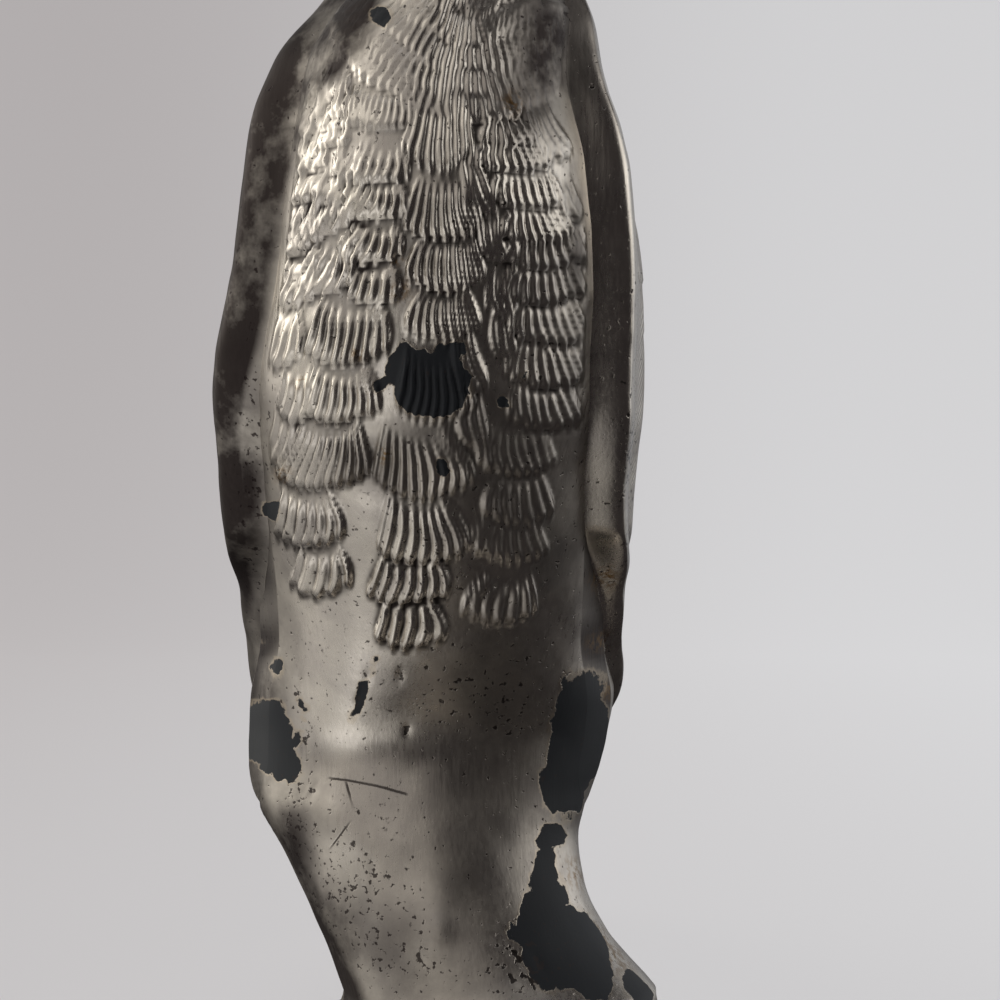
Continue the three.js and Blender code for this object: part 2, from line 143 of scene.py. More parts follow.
# The front view that the chasing was laid out in: an eye level with the breast, and a picture of 1000 pixels
EYE = (1.24, -286.0, 76.8)
PLATE_DEPTH = -8
LENS = 85
SENSOR = 36
PICTURE = 1000
PIXELS_PER_SLOPE = PICTURE * LENS / SENSOR

# Tufts of chased strokes in picture pixels: middle x, lower end y, width, length, strokes, lean, depth share
TUFTS = (
    (440, 172, 76, 70, 8, 0.06, 1.0), (446, 243, 86, 60, 9, -0.04, 0.9), (450, 292, 88, 48, 9, -0.08, 0.9),
    (446, 342, 84, 48, 9, -0.06, 0.8), (480, 394, 34, 60, 3, -0.28, 0.8), (433, 424, 86, 62, 9, 0.0, 1.0),
    (421, 500, 104, 62, 10, -0.06, 1.0), (420, 567, 98, 60, 8, 0.0, 1.1), (402, 605, 88, 42, 7, 0.18, 1.1),
    (404, 650, 78, 44, 5, 0.12, 1.2), (505, 123, 46, 24, 6, -0.35, 0.7), (515, 147, 62, 27, 7, -0.35, 0.8),
    (517, 172, 84, 30, 10, -0.25, 0.8), (533, 210, 82, 34, 9, -0.22, 0.9), (541, 243, 80, 34, 9, -0.15, 0.8),
    (545, 270, 92, 34, 9, -0.12, 0.8), (546, 305, 94, 38, 10, -0.1, 1.0), (556, 347, 92, 42, 9, -0.25, 0.8),
    (558, 390, 100, 46, 10, -0.2, 0.7), (552, 430, 84, 42, 8, -0.2, 0.6), (520, 476, 84, 42, 8, -0.1, 0.5),
    (520, 527, 76, 46, 7, -0.04, 0.55), (512, 561, 84, 36, 8, -0.08, 0.5), (500, 624, 78, 42, 6, 0.14, 1.0),
    (488, 218, 30, 58, 3, -0.3, 0.7), (500, 264, 28, 44, 3, -0.25, 0.6), (506, 322, 32, 48, 4, -0.1, 0.6),
    (508, 360, 30, 44, 3, -0.15, 0.5), (480, 452, 34, 52, 3, -0.2, 0.5), (562, 160, 42, 54, 5, -0.5, 0.5),
    (580, 222, 28, 42, 3, -0.4, 0.7), (587, 268, 30, 38, 4, -0.3, 0.8), (600, 372, 26, 52, 3, -0.35, 0.5),
    (375, 131, 82, 36, 11, 0.3, 0.6), (370, 186, 66, 32, 6, 0.4, 1.0), (366, 221, 68, 34, 7, 0.4, 1.0),
    (364, 263, 66, 34, 6, 0.3, 1.0), (368, 304, 54, 36, 5, 0.2, 0.8), (343, 368, 92, 62, 9, 0.12, 1.0),
    (335, 424, 84, 50, 8, 0.16, 1.0), (316, 493, 98, 60, 10, 0.22, 1.1), (304, 551, 76, 52, 7, 0.1, 1.2),
    (315, 599, 66, 44, 4, 0.16, 1.2), (313, 296, 64, 48, 7, 0.5, 0.9), (283, 314, 44, 50, 5, 0.45, 0.9),
    (276, 372, 40, 54, 4, 0.2, 0.9), (288, 424, 42, 48, 4, 0.25, 0.9), (312, 240, 52, 42, 6, 0.5, 0.8),
    (281, 262, 38, 46, 4, 0.5, 0.8), (372, 352, 22, 40, 2, 0.1, 0.6), (268, 470, 30, 50, 3, 0.3, 0.7),
)
# How far the strokes of a tuft bow out, in pixels, on the left and on the right of the middle
STROKE_BOW = (4.0, -3.0)
BREAST_MIDDLE = 440
# Small broken tufts down the left of the breast: columns of x, rows of y, and how they vary
SMALL_TUFT_COLUMNS = (282, 305, 330)
SMALL_TUFT_ROWS = (96, 232)
SMALL_TUFT_PITCH = 21
SMALL_TUFT_SIZE = (30, 26)
# Rings of fine strokes round the throat
THROAT = (470, -34)
THROAT_RINGS = (52, 82, 108, 132, 154)
THROAT_PITCH = 9.5
# Relief in millimetres: how deep the strokes are cut and how much a tuft stands up
STROKE_DEPTH = 0.5
TUFT_STEP = 0.42
# Hammered ground of the upper left of the breast: middle x, y, half width, half height
HAMMERED = (312, 205, 60, 100)
HAMMERED_DEPTH = 0.2

# Patches where the plate is gone, in picture pixels: middle x, y, half width, half height, turn in degrees
BARE_PATCHES = (
    (430, 382, 38, 34, 0), (404, 366, 16, 22, 0), (380, 384, 9, 7, 0), (448, 350, 20, 9, 0),
    (262, 736, 32, 38, -6), (286, 766, 14, 14, 0), (276, 668, 7, 9, 0), (268, 640, 5, 7, 0),
    (578, 742, 30, 72, 8), (592, 700, 16, 34, 10), (560, 782, 20, 36, 0), (596, 760, 22, 40, 6),
    (551, 834, 14, 12, 0), (545, 875, 12, 30, 6), (530, 908, 12, 20, 10),
    (566, 950, 42, 40, 30), (552, 905, 14, 40, 0), (528, 930, 20, 12, 0), (590, 975, 26, 24, 30), (548, 968, 16, 26, 0),
    (640, 985, 16, 24, -30), (503, 402, 4, 4, 0), (525, 372, 4, 4, 0), (442, 464, 7, 9, 0), (272, 510, 9, 8, 0),
    (383, 18, 9, 9, 0), (303, 706, 6, 12, -15), (362, 690, 4, 18, 20), (297, 740, 6, 9, 0),
)
# Yellow and brown stains: middle x, y, radius
STAINS = (
    (401, 292, 9), (359, 353, 6), (302, 382, 6), (385, 453, 7), (284, 473, 9), (398, 262, 5), (600, 940, 26),
    (582, 872, 16), (608, 578, 12), (606, 640, 9), (612, 690, 9), (510, 104, 10), (622, 955, 18),
)
# Dark tarnish together with painted shade, darker patches where the front view lay in shade: middle x, y, half width,
# half height, strength
TARNISH_AND_PAINTED_SHADE = (
    (572, 250, 12, 130, 0.7), (560, 330, 40, 120, 0.35), (560, 545, 40, 60, 0.6), (225, 320, 34, 300, 0.95),
    (228, 620, 30, 160, 0.95), (248, 500, 26, 150, 0.9), (256, 690, 30, 120, 1.0), (285, 850, 36, 70, 0.95),
    (540, 800, 50, 120, 0.5), (470, 880, 40, 60, 0.6), (325, 940, 50, 60, 0.9), (385, 950, 60, 50, 0.55),
    (500, 470, 80, 100, 0.45), (420, 980, 90, 40, 0.5), (545, 50, 44, 90, 1.0), (395, 455, 50, 34, 0.6),
    (500, 690, 60, 120, 0.55), (475, 800, 40, 90, 0.5),
)
# Zones of fine corrosion: middle x, y, half width, half height, strength
CORRODED = (
    (350, 890, 50, 60, 0.8), (525, 965, 40, 30, 0.9), (480, 700, 60, 50, 0.5), (300, 820, 20, 60, 0.8),
    (632, 470, 14, 80, 0.8), (400, 960, 60, 30, 0.6), (255, 480, 14, 160, 0.6), (430, 560, 80, 60, 0.3),
)
# Single corrosion pits: x and y of each
PITS = (
    (298, 678), (296, 695), (306, 740), (368, 675), (362, 690), (358, 700), (400, 675), (407, 730), (303, 795),
    (313, 794), (347, 873), (374, 871), (371, 882), (350, 888), (368, 915), (375, 928), (376, 943), (398, 960),
    (420, 957), (511, 950), (518, 957), (511, 975), (534, 983), (540, 965),
)
PIT_RADIUS = 4.2
PIT_DEPTH = 0.16
# Small swellings and hollows of the worn lower part: middle x, y, radius and height in millimetres
SWELLINGS = ((436, 930, 15, 0.5), (360, 700, 40, 0.5), (352, 810, 34, 0.4), (470, 790, 60, -0.4), (400, 880, 26, -0.3))
# The crack across the lower part, from left to right, and its side branches from top to bottom
CRACK = ((328, 779), (348, 781), (378, 787), (410, 796))
CRACK_BRANCHES = ((347, 780, 354, 804), (352, 822, 330, 850))
BRANCHES_PART = 812
CRACK_END = 5
# The dark band painted inside the left outline, tarnish together with painted shade of the left rim: its width in
# millimetres, and how far it fades
OUTLINE_TARNISH_AND_SHADE = (1.6, 4.6)

# How finely the faces are laid
COLUMNS = 324
CROWDED_COLUMNS = ((0, -58), (250 / 324, 58), (254 / 324, 140), (320 / 324, 220), (1, 302))
FRONT_COLUMN = 125 / 324
STATION_RUNS = (
    (-60, -51, 4), (-51, 18, 14), (18, 48, 32), (48, 138, 150), (138, 168, 22), (168, 182, 12), (182, 192, 20),
    (192, 206, 16),
)
WING_ROWS = 300
WING_COLUMNS = 150
WING_INNER_COLUMNS = 14
TAIL_ROWS = 100
TAIL_SIDES = 88


def smoothstep(low, high, value):
    """Rises from 0 to 1 between low and high, as 3t^2 - 2t^3."""
    t = np.clip((value - low) / (high - low), 0, 1)
    return t * t * (3 - 2 * t)


def through(keys, places):
    """A smooth curve through (place, value) keys that never overshoots them: a monotone cubic."""
    at, value = np.array(keys, float).T
    step = np.diff(at)
    rise = np.diff(value) / step
    before, after = rise[:-1], rise[1:]
    near, far = 2 * step[1:] + step[:-1], step[1:] + 2 * step[:-1]
    steady = before * after > 0
    safe_before, safe_after = np.where(steady, before, 1), np.where(steady, after, 1)
    inner = np.where(steady, (near + far) / (near / safe_before + far / safe_after), 0)
    slope = np.concatenate([rise[:1], inner, rise[-1:]])
    t = np.clip(places, at[0], at[-1])
    i = np.clip(np.searchsorted(at, t) - 1, 0, len(step) - 1)
    u = (t - at[i]) / step[i]
    rising = u * u * (3 - 2 * u)
    entry = u * (1 - u) ** 2 * step[i] * slope[i]
    leaving = u * u * (u - 1) * step[i] * slope[i + 1]
    return value[i] * (1 - rising) + value[i + 1] * rising + entry + leaving


def noise(points, size, seed):
    """Smooth random heights from -1 to 1: random values on a lattice of the given size, blended between corners."""
    table = np.random.default_rng(seed).uniform(-1, 1, 4096)
    place = np.asarray(points) / size
    cell = np.floor(place).astype(int)
    part = place - cell
    weight = part * part * (3 - 2 * part)
    total = np.zeros(place.shape[:-1])
    for corner in range(2 ** place.shape[-1]):
        offset = np.array([corner >> axis & 1 for axis in range(place.shape[-1])])
        index = ((cell + offset) * (1, 57, 1439)[: place.shape[-1]]).sum(axis=-1) % len(table)
        total += table[index] * np.prod(np.where(offset == 1, weight, 1 - weight), axis=-1)
    return total


def section(station):
    """The figure's section at each station: middle x, y, z, half width, depth ahead and behind, and tilt.
    Below the stalk the bird's section spreads into the oval of the ground by an eased share."""
    bird_station = np.maximum(station, STALK_FOOT)
    cover = WING_COVER * through(WINGED, bird_station)
    left = through(LEFT_EDGE, bird_station) + cover
    right = through(RIGHT_EDGE, bird_station) - cover
    half_width = np.where(station > HEAD_FOOT, through(HEAD_HALF_WIDTH, bird_station), (right - left) / 2)
    spread = np.clip((STALK_FOOT - station) / (STALK_FOOT - GROUND_TOP_STATION), 0, 1)
    ease = spread * spread * (1.6 - 0.6 * spread)
    reach = through(GROUND_REACH, station)

    def mixed(bird, ground):
        return bird + (ground - bird) * ease

    height = np.where(station < STALK_FOOT, through(GROUND_HEIGHT, station), through(MIDDLE_HEIGHT, bird_station))
    return {
        "x": mixed((left + right) / 2, 0),
        "y": mixed(through(MIDDLE_DEPTH, bird_station), 0),
        "z": height,
        "half_width": mixed(half_width, BASE_HALF_WIDTH * reach),
        "ahead": mixed(through(FRONT_DEPTH, bird_station), BASE_HALF_DEPTH * reach),
        "behind": mixed(through(BACK_DEPTH, bird_station), BASE_HALF_DEPTH * reach),
        "tilt": np.radians(through(TILT_DEGREES, bird_station)),
    }


def smooth_point(angle, station):
    """A point of the smooth figure: its section's half ellipse ahead or behind, at an angle from the front."""
    s = section(station)
    ahead = np.cos(angle) * np.where(np.cos(angle) > 0, s["ahead"], s["behind"])
    x = s["x"] + np.sin(angle) * s["half_width"]
    return np.stack([x, s["y"] - ahead * np.cos(s["tilt"]), s["z"] - ahead * np.sin(s["tilt"])], axis=-1)


def outward(angle, station):
    """The unit direction away from the smooth figure: the cross product of short steps round and up it."""
    turn, rise = 0.01, 0.25
    around = smooth_point(angle + turn, station) - smooth_point(angle - turn, station)
    up = smooth_point(angle, station + rise) - smooth_point(angle, station - rise)
    out = np.cross(around, up)
    return out / np.maximum(np.linalg.norm(out, axis=-1, keepdims=True), 1e-9)


def picture_place(points):
    """Where points show in the front view, in pixels: their slope from the eye times the pixels per slope."""
    away = np.asarray(points) - EYE
    x = PICTURE / 2 + PIXELS_PER_SLOPE * away[..., 0] / away[..., 1]
    y = PICTURE / 2 - PIXELS_PER_SLOPE * away[..., 2] / away[..., 1]
    return x, y


def ridges(phase):
    """Rounded ridges with open grooves between them, one for each whole step of phase."""
    return np.abs(np.cos(np.pi * phase)) ** 1.25


def tuft_relief(x, y, tuft):
    """One tuft: a fan of strokes whose lower ends lie on a U. It stands highest there and dies out upwards. Its
    strokes bow by 4 bow u (1 - u) on their way up and draw together, as across = offset / (1 - 0.3 u^2)."""
    middle, lower, width, length, strokes, lean, share = tuft
    above = lower - y
    up = np.clip(above / length, 0, 1.2)
    bow = STROKE_BOW[0] if middle < BREAST_MIDDLE else STROKE_BOW[1]
    across = (x - middle - lean * above - 4 * bow * up * (1 - up)) / (width / 2 * (1 - 0.3 * up**2))
    upward = above / length - 0.3 * across**2
    ridge = ridges(across * strokes / 2)
    lower_end = smoothstep(-0.03, 0.12, upward - 0.08 * (1 - ridge))
    sides = 1 - smoothstep(0.92, 1.06, np.abs(across))
    tile = TUFT_STEP * (1 - 0.85 * upward) * (1 - smoothstep(0.7, 1.1, upward))
    stroke = STROKE_DEPTH * share * ridge * (1 - smoothstep(0.74, 1.0, upward))
    return lower_end * sides * (tile + stroke)


def small_tufts():
    """Short broken tufts in loose rows down the left of the breast, each a little out of place."""
    random = np.random.default_rng(11)
    found = []
    for y in range(*SMALL_TUFT_ROWS, SMALL_TUFT_PITCH):
        for x in SMALL_TUFT_COLUMNS:
            shift_x, shift_y = random.uniform(-6, 6, 2)
            wide, long = SMALL_TUFT_SIZE
            strokes = int(random.integers(3, 5))
            found.append((x + shift_x, y + shift_y, wide, long, strokes, 0.55, random.uniform(0.5, 0.9)))
    return found


def throat_relief(x, y):
    """Rings of fine strokes that point away from the throat, each ring stepped at its outer edge."""
    dx, dy = x - THROAT[0], y - THROAT[1]
    radius, angle = np.hypot(dx, dy), np.arctan2(dx, dy)
    relief = np.zeros_like(radius)
    for number, outer in enumerate(THROAT_RINGS):
        wavy = outer + 3 * np.sin(angle * 7 + number * 2)
        inward = (wavy - radius) / 34
        ridge = ridges(angle * outer / THROAT_PITCH + 0.37 * number + 0.2 * inward)
        envelope = smoothstep(0, 0.14, inward) * (1 - smoothstep(0.7, 1.1, inward))
        envelope = envelope * (1 - smoothstep(1.15, 1.4, np.abs(angle)))
        relief = np.maximum(relief, envelope * (0.6 * TUFT_STEP * (1 - 0.5 * inward) + 0.6 * STROKE_DEPTH * ridge))
    return relief


def breast_relief(x, y):
    """All the chasing of the breast: the highest of the tufts and the throat's rings, on slightly wavering lines."""
    place = np.stack([x, y], axis=-1)
    middle_x, middle_y, half_width, half_height = HAMMERED
    hammered = np.exp(-((((x - middle_x) / half_width) ** 2 + ((y - middle_y) / half_height) ** 2) ** 2))
    dents = noise(np.stack([x + 0.6 * y, 0.7 * y], axis=-1), 9, 7) + 0.6 * noise(place, 5.5, 8)
    x = x + (2.2 + 3 * hammered) * noise(place, 26, 3) + (0.7 + 2 * hammered) * noise(place, 9, 4)
    y = y + (2.5 + 4 * hammered) * noise(place, 30, 5)
    relief = throat_relief(x, y)
    for tuft in TUFTS + tuple(small_tufts()):
        relief = np.maximum(relief, tuft_relief(x, y, tuft))
    return relief * (0.85 + 0.3 * noise(place, 40, 6)) + HAMMERED_DEPTH * hammered * dents


def patch_depth(x, y, patches, ragged):
    """How far inside the nearest ragged patch each place is, as a share of the patch: above 0 is inside."""
    place = np.stack([x, y], axis=-1)
    rough = ragged * (0.6 * noise(place, 14, 21) + 0.4 * noise(place, 5, 22))
    depth = np.full(x.shape, -1.0)
    for middle_x, middle_y, half_width, half_height, turn in patches:
        dx, dy = x - middle_x, y - middle_y
        cos, sin = np.cos(radians(turn)), np.sin(radians(turn))
        across, down = (dx * cos + dy * sin) / half_width, (dy * cos - dx * sin) / half_height
        inside = 1 - (np.abs(across) ** 2.6 + np.abs(down) ** 2.6) ** (1 / 2.6)
        depth = np.maximum(depth, np.clip(inside * min(half_width, half_height) / 16, -1, 1))
    return depth + rough


def soft_spots(x, y, spots):
    """Soft round or oval spots, the strongest at each place: strength times a bell curve."""
    total = np.zeros(x.shape)
    for middle_x, middle_y, half_width, half_height, strength in spots:
        bell = np.exp(-(((x - middle_x) / half_width) ** 2) - ((y - middle_y) / half_height) ** 2)
        total = np.maximum(total, strength * bell)
    return total


def pit_mask(x, y):
    """Each pit as a round spot, 1 in its middle."""
    mask = np.zeros(x.shape)
    for pit_x, pit_y in PITS:
        mask = np.maximum(mask, np.exp(-(((x - pit_x) ** 2 + (y - pit_y) ** 2) / PIT_RADIUS**2)))
    return mask


def worn_relief(x, y):
    """Swellings, hollows and pits of the worn lower part, each a bell curve."""
    relief = -PIT_DEPTH * pit_mask(x, y)
    for middle_x, middle_y, radius, height in SWELLINGS:
        relief = relief + height * np.exp(-(((x - middle_x) ** 2 + (y - middle_y) ** 2) / radius**2))
    return relief


def crack_masks(x, y):
    """For the crack and for its branches: the signed distance to the line, and where the line runs."""
    place_x, place_y = np.array(CRACK, float).T
    along = smoothstep(0, CRACK_END, x - place_x[0]) * smoothstep(0, CRACK_END, place_x[-1] - x)
    distance = y - np.interp(x, place_x, place_y)
    upper, lower = CRACK_BRANCHES
    side, down = (
        np.where(y < BRANCHES_PART, first, second)
        for first, second in zip(line_place(x, y, upper), line_place(x, y, lower))
    )
    return {
        "crack": distance,
        "cracked": along * (1 - smoothstep(6, 12, np.abs(distance))),
        "branch": side,
        "branched": down * (1 - smoothstep(6, 12, np.abs(side))),
    }


def line_place(x, y, line):
    """Distance sideways from a steep straight line, and 1 along its length, fading at its ends."""
    start_x, start_y, end_x, end_y = line
    share = (y - start_y) / (end_y - start_y)
    return x - start_x - (end_x - start_x) * share, smoothstep(0, 0.15, share) * smoothstep(0, 0.15, 1 - share)


def outline_tarnish_and_shade(point):
    """1 in the painted dark band of tarnish and shade inside the left outline of the front view, fading towards the
    breast.
    """
    plate = EYE[1] - PLATE_DEPTH
    share = plate / (EYE[1] - point[..., 1])
    x = EYE[0] + (point[..., 0] - EYE[0]) * share
    z = EYE[2] + (point[..., 2] - EYE[2]) * share
    inside = x - through(LEFT_EDGE, z)
    return 1 - smoothstep(*OUTLINE_TARNISH_AND_SHADE, inside)


def scales(across, down, strokes):
    """Overlapping feathers laid like tiles: across and down count feathers, and every second row is shifted by half.
    Each is highest at its rounded lower edge. Returns the height of the tile and of its strokes, both 0 to 1."""
    tile, stroke = np.zeros(across.shape), np.zeros(across.shape)
    for ahead in (1, 0):
        row = np.floor(down) + ahead
        column = across + 0.5 * (row % 2)
        u = 2 * (column - np.floor(column)) - 1
        v = row - down + 0.45 - 0.45 * u * u
        inside = (v > 0) & (v < 1.45)
        height = np.where(inside, smoothstep(0, 0.1, v) * (1 - 0.6 * v / 1.45), 0)
        take = height > tile
        ridge = ridges(u * strokes / 2 * (1 - 0.25 * v)) * smoothstep(0, 0.12, v) * (1 - smoothstep(0.6, 1.2, v))
        stroke = np.where(take, ridge, stroke)
        tile = np.where(take, height, tile)
    return tile, stroke


def bell(point, form):
    """A round swelling on the side of the head: height times exp(-(distance / radius)^2)."""
    y, z, radius, height = form
    return height * np.exp(-((point[..., 1] - y) ** 2 + (point[..., 2] - z) ** 2) / radius**2)


def head_relief(point, angle, station):
    """The eye in its ringed socket, the beaded bare skin round it, the ear tufts, the nostril, the mouth line and
    fine rows of feathers over the crown. The eyeball is a dome, sqrt(1 - (distance / radius)^2)."""
    side = smoothstep(0.35, 0.6, np.abs(np.sin(angle)))
    y, z = EYE_PLACE
    distance = np.hypot(point[..., 1] - y, point[..., 2] - z)
    ball = EYEBALL_HEIGHT * np.sqrt(np.clip(1 - (distance / EYEBALL_RADIUS) ** 2, 0, 1))
    ring = EYE_RING_HEIGHT * np.exp(-(((distance - EYE_RING_RADIUS) / 0.45) ** 2))
    skin = smoothstep(WATTLE_RADIUS, WATTLE_RADIUS - 1.4, np.hypot(point[..., 1] - y, 1.25 * (point[..., 2] - z + 1)))
    beads = skin * (0.3 + 0.22 * noise(point, 0.8, 41)) * smoothstep(EYE_RING_RADIUS, EYE_RING_RADIUS + 0.8, distance)
    relief = side * (np.maximum(ball, ring) + beads + bell(point, CHEEK) + bell(point, EAR_TUFT))
    under = np.degrees(np.arctan2(np.abs(np.sin(angle)), -np.cos(angle)))
    mouth = np.exp(-(((under - 102) / 6) ** 2))
    relief = relief - 0.4 * mouth * smoothstep(190, 194, station) * (1 - smoothstep(203, 205.5, station))
    nostril = np.exp(-(((under - 50) / 13) ** 2) - ((station - 197) / 1.3) ** 2)
    cere = 0.35 * np.exp(-(((under - 50) / 30) ** 2) - ((station - 196) / 2.6) ** 2)
    relief = relief + cere - 0.7 * nostril
    tile, stroke = scales(angle / (2 * np.pi) * 22, (196 - station) / 2.6, 2)
    crown = smoothstep(168, 174, station) * (1 - smoothstep(189, 193, station)) * (1 - skin * side)
    return relief * smoothstep(HEAD_FOOT, HEAD_FOOT + 5, station) + crown * (0.2 * tile + 0.06 * stroke)


def body_relief(angle, station, point):
    """Height of everything modelled on the casting, in millimetres outward."""
    x, y = picture_place(point)
    bare_of_wing = np.radians(through(WING_FRONT_ANGLE, station)) - np.abs(angle)
    front = smoothstep(radians(1), radians(5), np.where(np.abs(station - 90) < 60, bare_of_wing, radians(60) - np.abs(angle)))
    relief = np.where(np.cos(angle) > 0, breast_relief(x, y) * front, 0)
    worn = np.where(np.cos(angle) > 0, worn_relief(x, y), 0)

    # Small scales round the neck, and larger ones down the back between the wings
    neck = smoothstep(139, 146, station) * (1 - smoothstep(164, 174, station))
    tile, stroke = scales(angle / (2 * np.pi) * 14, (170 - station) / 4.6, 4)
    relief = np.maximum(relief, neck * (0.34 * tile + 0.16 * stroke))
    back = smoothstep(radians(62), radians(80), np.abs(angle)) * smoothstep(46, 54, station) * (1 - smoothstep(136, 144, station))
    turned = np.pi - np.abs(angle)
    tile, stroke = scales(np.sign(angle) * turned * 3.1 + 0.5, (150 - station) / 7.6, 5)
    back = back * np.where(turned < np.pi / 2, 1, 0)
    relief = np.maximum(relief, back * (0.75 * tile + 0.22 * stroke))

    collar = 0.5 * np.exp(-(((station - COLLAR_HEIGHT) / COLLAR_WIDTH) ** 2))
    lumps = smoothstep(-50, -30, station) * (1 - smoothstep(-5, 15, station)) * GROUND_LUMPS
    waves = np.sin(point[..., 0] * 0.19 + 1) * np.cos(point[..., 1] * 0.16)
    waves = waves + 0.5 * np.sin(point[..., 1] * 0.35 + point[..., 0] * 0.1)
    grass = 0.35 * noise(point, 3.2, 51) * smoothstep(-50, -44, station) * (1 - smoothstep(8, 22, station))
    uneven = 0.12 * noise(point, 7, 52) + 0.05 * noise(point, 2.6, 53)
    return relief + worn + collar + lumps * waves + grass + uneven + head_relief(point, angle, station)


def blurred(heights, sideways, upwards):
    """Each height averaged with its neighbours, so many times each way; the grid closes on itself sideways."""
    for _ in range(sideways):
        heights = (np.roll(heights, 1, axis=1) + heights + np.roll(heights, -1, axis=1)) / 3
    for _ in range(upwards):
        padded = np.pad(heights, ((1, 1), (0, 0)), mode="edge")
        heights = (padded[:-2] + padded[1:-1] + padded[2:]) / 3
    return heights


def surface_masks(point, facing, groove):
    """Where the plate is lost, stained, tarnished or darkened by painted shade, pitted or cracked: from the layout of
    the front view where facing is 1, by chance where it is 0, and blended between."""
    x, y = picture_place(point)
    chance = 0.7 * noise(point, 15, 61) + 0.3 * noise(point, 5, 62)
    laid_out = {
        "bare": patch_depth(x, y, BARE_PATCHES, 0.34),
        "stain": soft_spots(x, y, [(sx, sy, radius, radius, 1) for sx, sy, radius in STAINS]),
        # The tarnish mask holds tarnish and painted shade: the patch table and the painted band inside the left outline
        "tarnish_and_shade": np.maximum(soft_spots(x, y, TARNISH_AND_PAINTED_SHADE), outline_tarnish_and_shade(point)),
        "pitted": np.maximum(pit_mask(x, y), 0.45 * soft_spots(x, y, CORRODED)),
    }
    by_chance = {"bare": 3 * (chance - 0.52), "stain": 0, "tarnish_and_shade": 0.3 + 0.5 * chance, "pitted": 0.3 * chance}
    masks = {name: by_chance[name] + (laid_out[name] - by_chance[name]) * facing for name in laid_out}
    cracks = crack_masks(x, y)
    for run in ("cracked", "branched"):
        cracks[run] = cracks[run] * facing
    return {"groove": groove, **masks, **cracks}


def set_values(mesh, name, values):
    attribute = mesh.attributes.new(name, "FLOAT", "POINT")
    attribute.data.foreach_set("value", np.ascontiguousarray(values, np.float32).ravel())


def ring_mesh(name, rings, ends, masks):
    """A closed skin over rings of points, bottom ring first, with a fan to a middle point at each end."""
    rows, sides = rings.shape[:2]
    points = np.concatenate([rings.reshape(-1, 3), np.array(ends)]) * MM
    row, side = np.meshgrid(np.arange(rows - 1), np.arange(sides), indexing="ij")
    following = (side + 1) % sides
    low, low_next = row * sides + side, row * sides + following
    quads = np.stack([low, low_next, low_next + sides, low + sides], axis=-1).reshape(-1, 4)
    around = np.arange(sides)
    first, last = rows * sides, rows * sides + 1
    top = (rows - 1) * sides
    fans = [np.stack([np.full(sides, first), (around + 1) % sides, around], axis=-1)]
    fans.append(np.stack([np.full(sides, last), top + around, top + (around + 1) % sides], axis=-1))
    mesh = bpy.data.meshes.new(name)
    mesh.from_pydata(points.tolist(), [], quads.tolist() + np.concatenate(fans).tolist())
    for mask, values in masks.items():
        end_values = [values[0].mean(), values[-1].mean()]
        set_values(mesh, mask, np.concatenate([values.ravel(), end_values]))
    mesh.polygons.foreach_set("use_smooth", np.ones(len(mesh.polygons), bool))
    mesh.update()
    return mesh


def new_piece(name, mesh, materials):
    piece = bpy.data.objects.new(name, mesh)
    bpy.context.collection.objects.link(piece)
    for material in materials:
        mesh.materials.append(material)
    return piece


def body_angles(station, column):
    """The angle of each column at each station. On the breast the columns crowd to the front and are few under the
    wings, where nothing shows; on the stalk, the ground and the head they are even."""
    crowded = np.interp(column, *np.array(CROWDED_COLUMNS, float).T)
    even = 360 * (column - FRONT_COLUMN)
    evenness = smoothstep(130, 148, station) + 1 - smoothstep(26, 46, station)
    angle = np.radians(crowded + (even - crowded) * evenness)
    return (angle + np.pi) % (2 * np.pi) - np.pi


def body_mesh():
    """The casting: a grid of angle round and station along the smooth figure, moved outward by its relief."""
    runs = [np.linspace(low, high, count, endpoint=False) for low, high, count in STATION_RUNS]
    stations = np.concatenate(runs + [[BEAK_TIP]])
    station, column = np.meshgrid(stations, np.arange(COLUMNS) / COLUMNS, indexing="ij")
    angle = body_angles(station, column)
    smooth = smooth_point(angle, station)
    relief = body_relief(angle, station, smooth)
    point = smooth + outward(angle, station) * relief[..., None]
    bottom = station <= GROUND_START
    point[..., 2] = np.where(bottom, 0, np.maximum(point[..., 2], 0.02))
    masks = surface_masks(smooth, smoothstep(-0.1, 0.3, np.cos(angle)), blurred(relief, 14, 3) - relief)
    masks["barb"] = np.zeros_like(angle)
    masks["barbed"] = np.zeros_like(angle)
    head = section(np.array([float(BEAK_TIP)]))
    tip = (head["x"][0], head["y"][0] - 0.3, head["z"][0] - 0.2)
    return ring_mesh("cast_body", point, [(0, 0, 0), tip], masks)


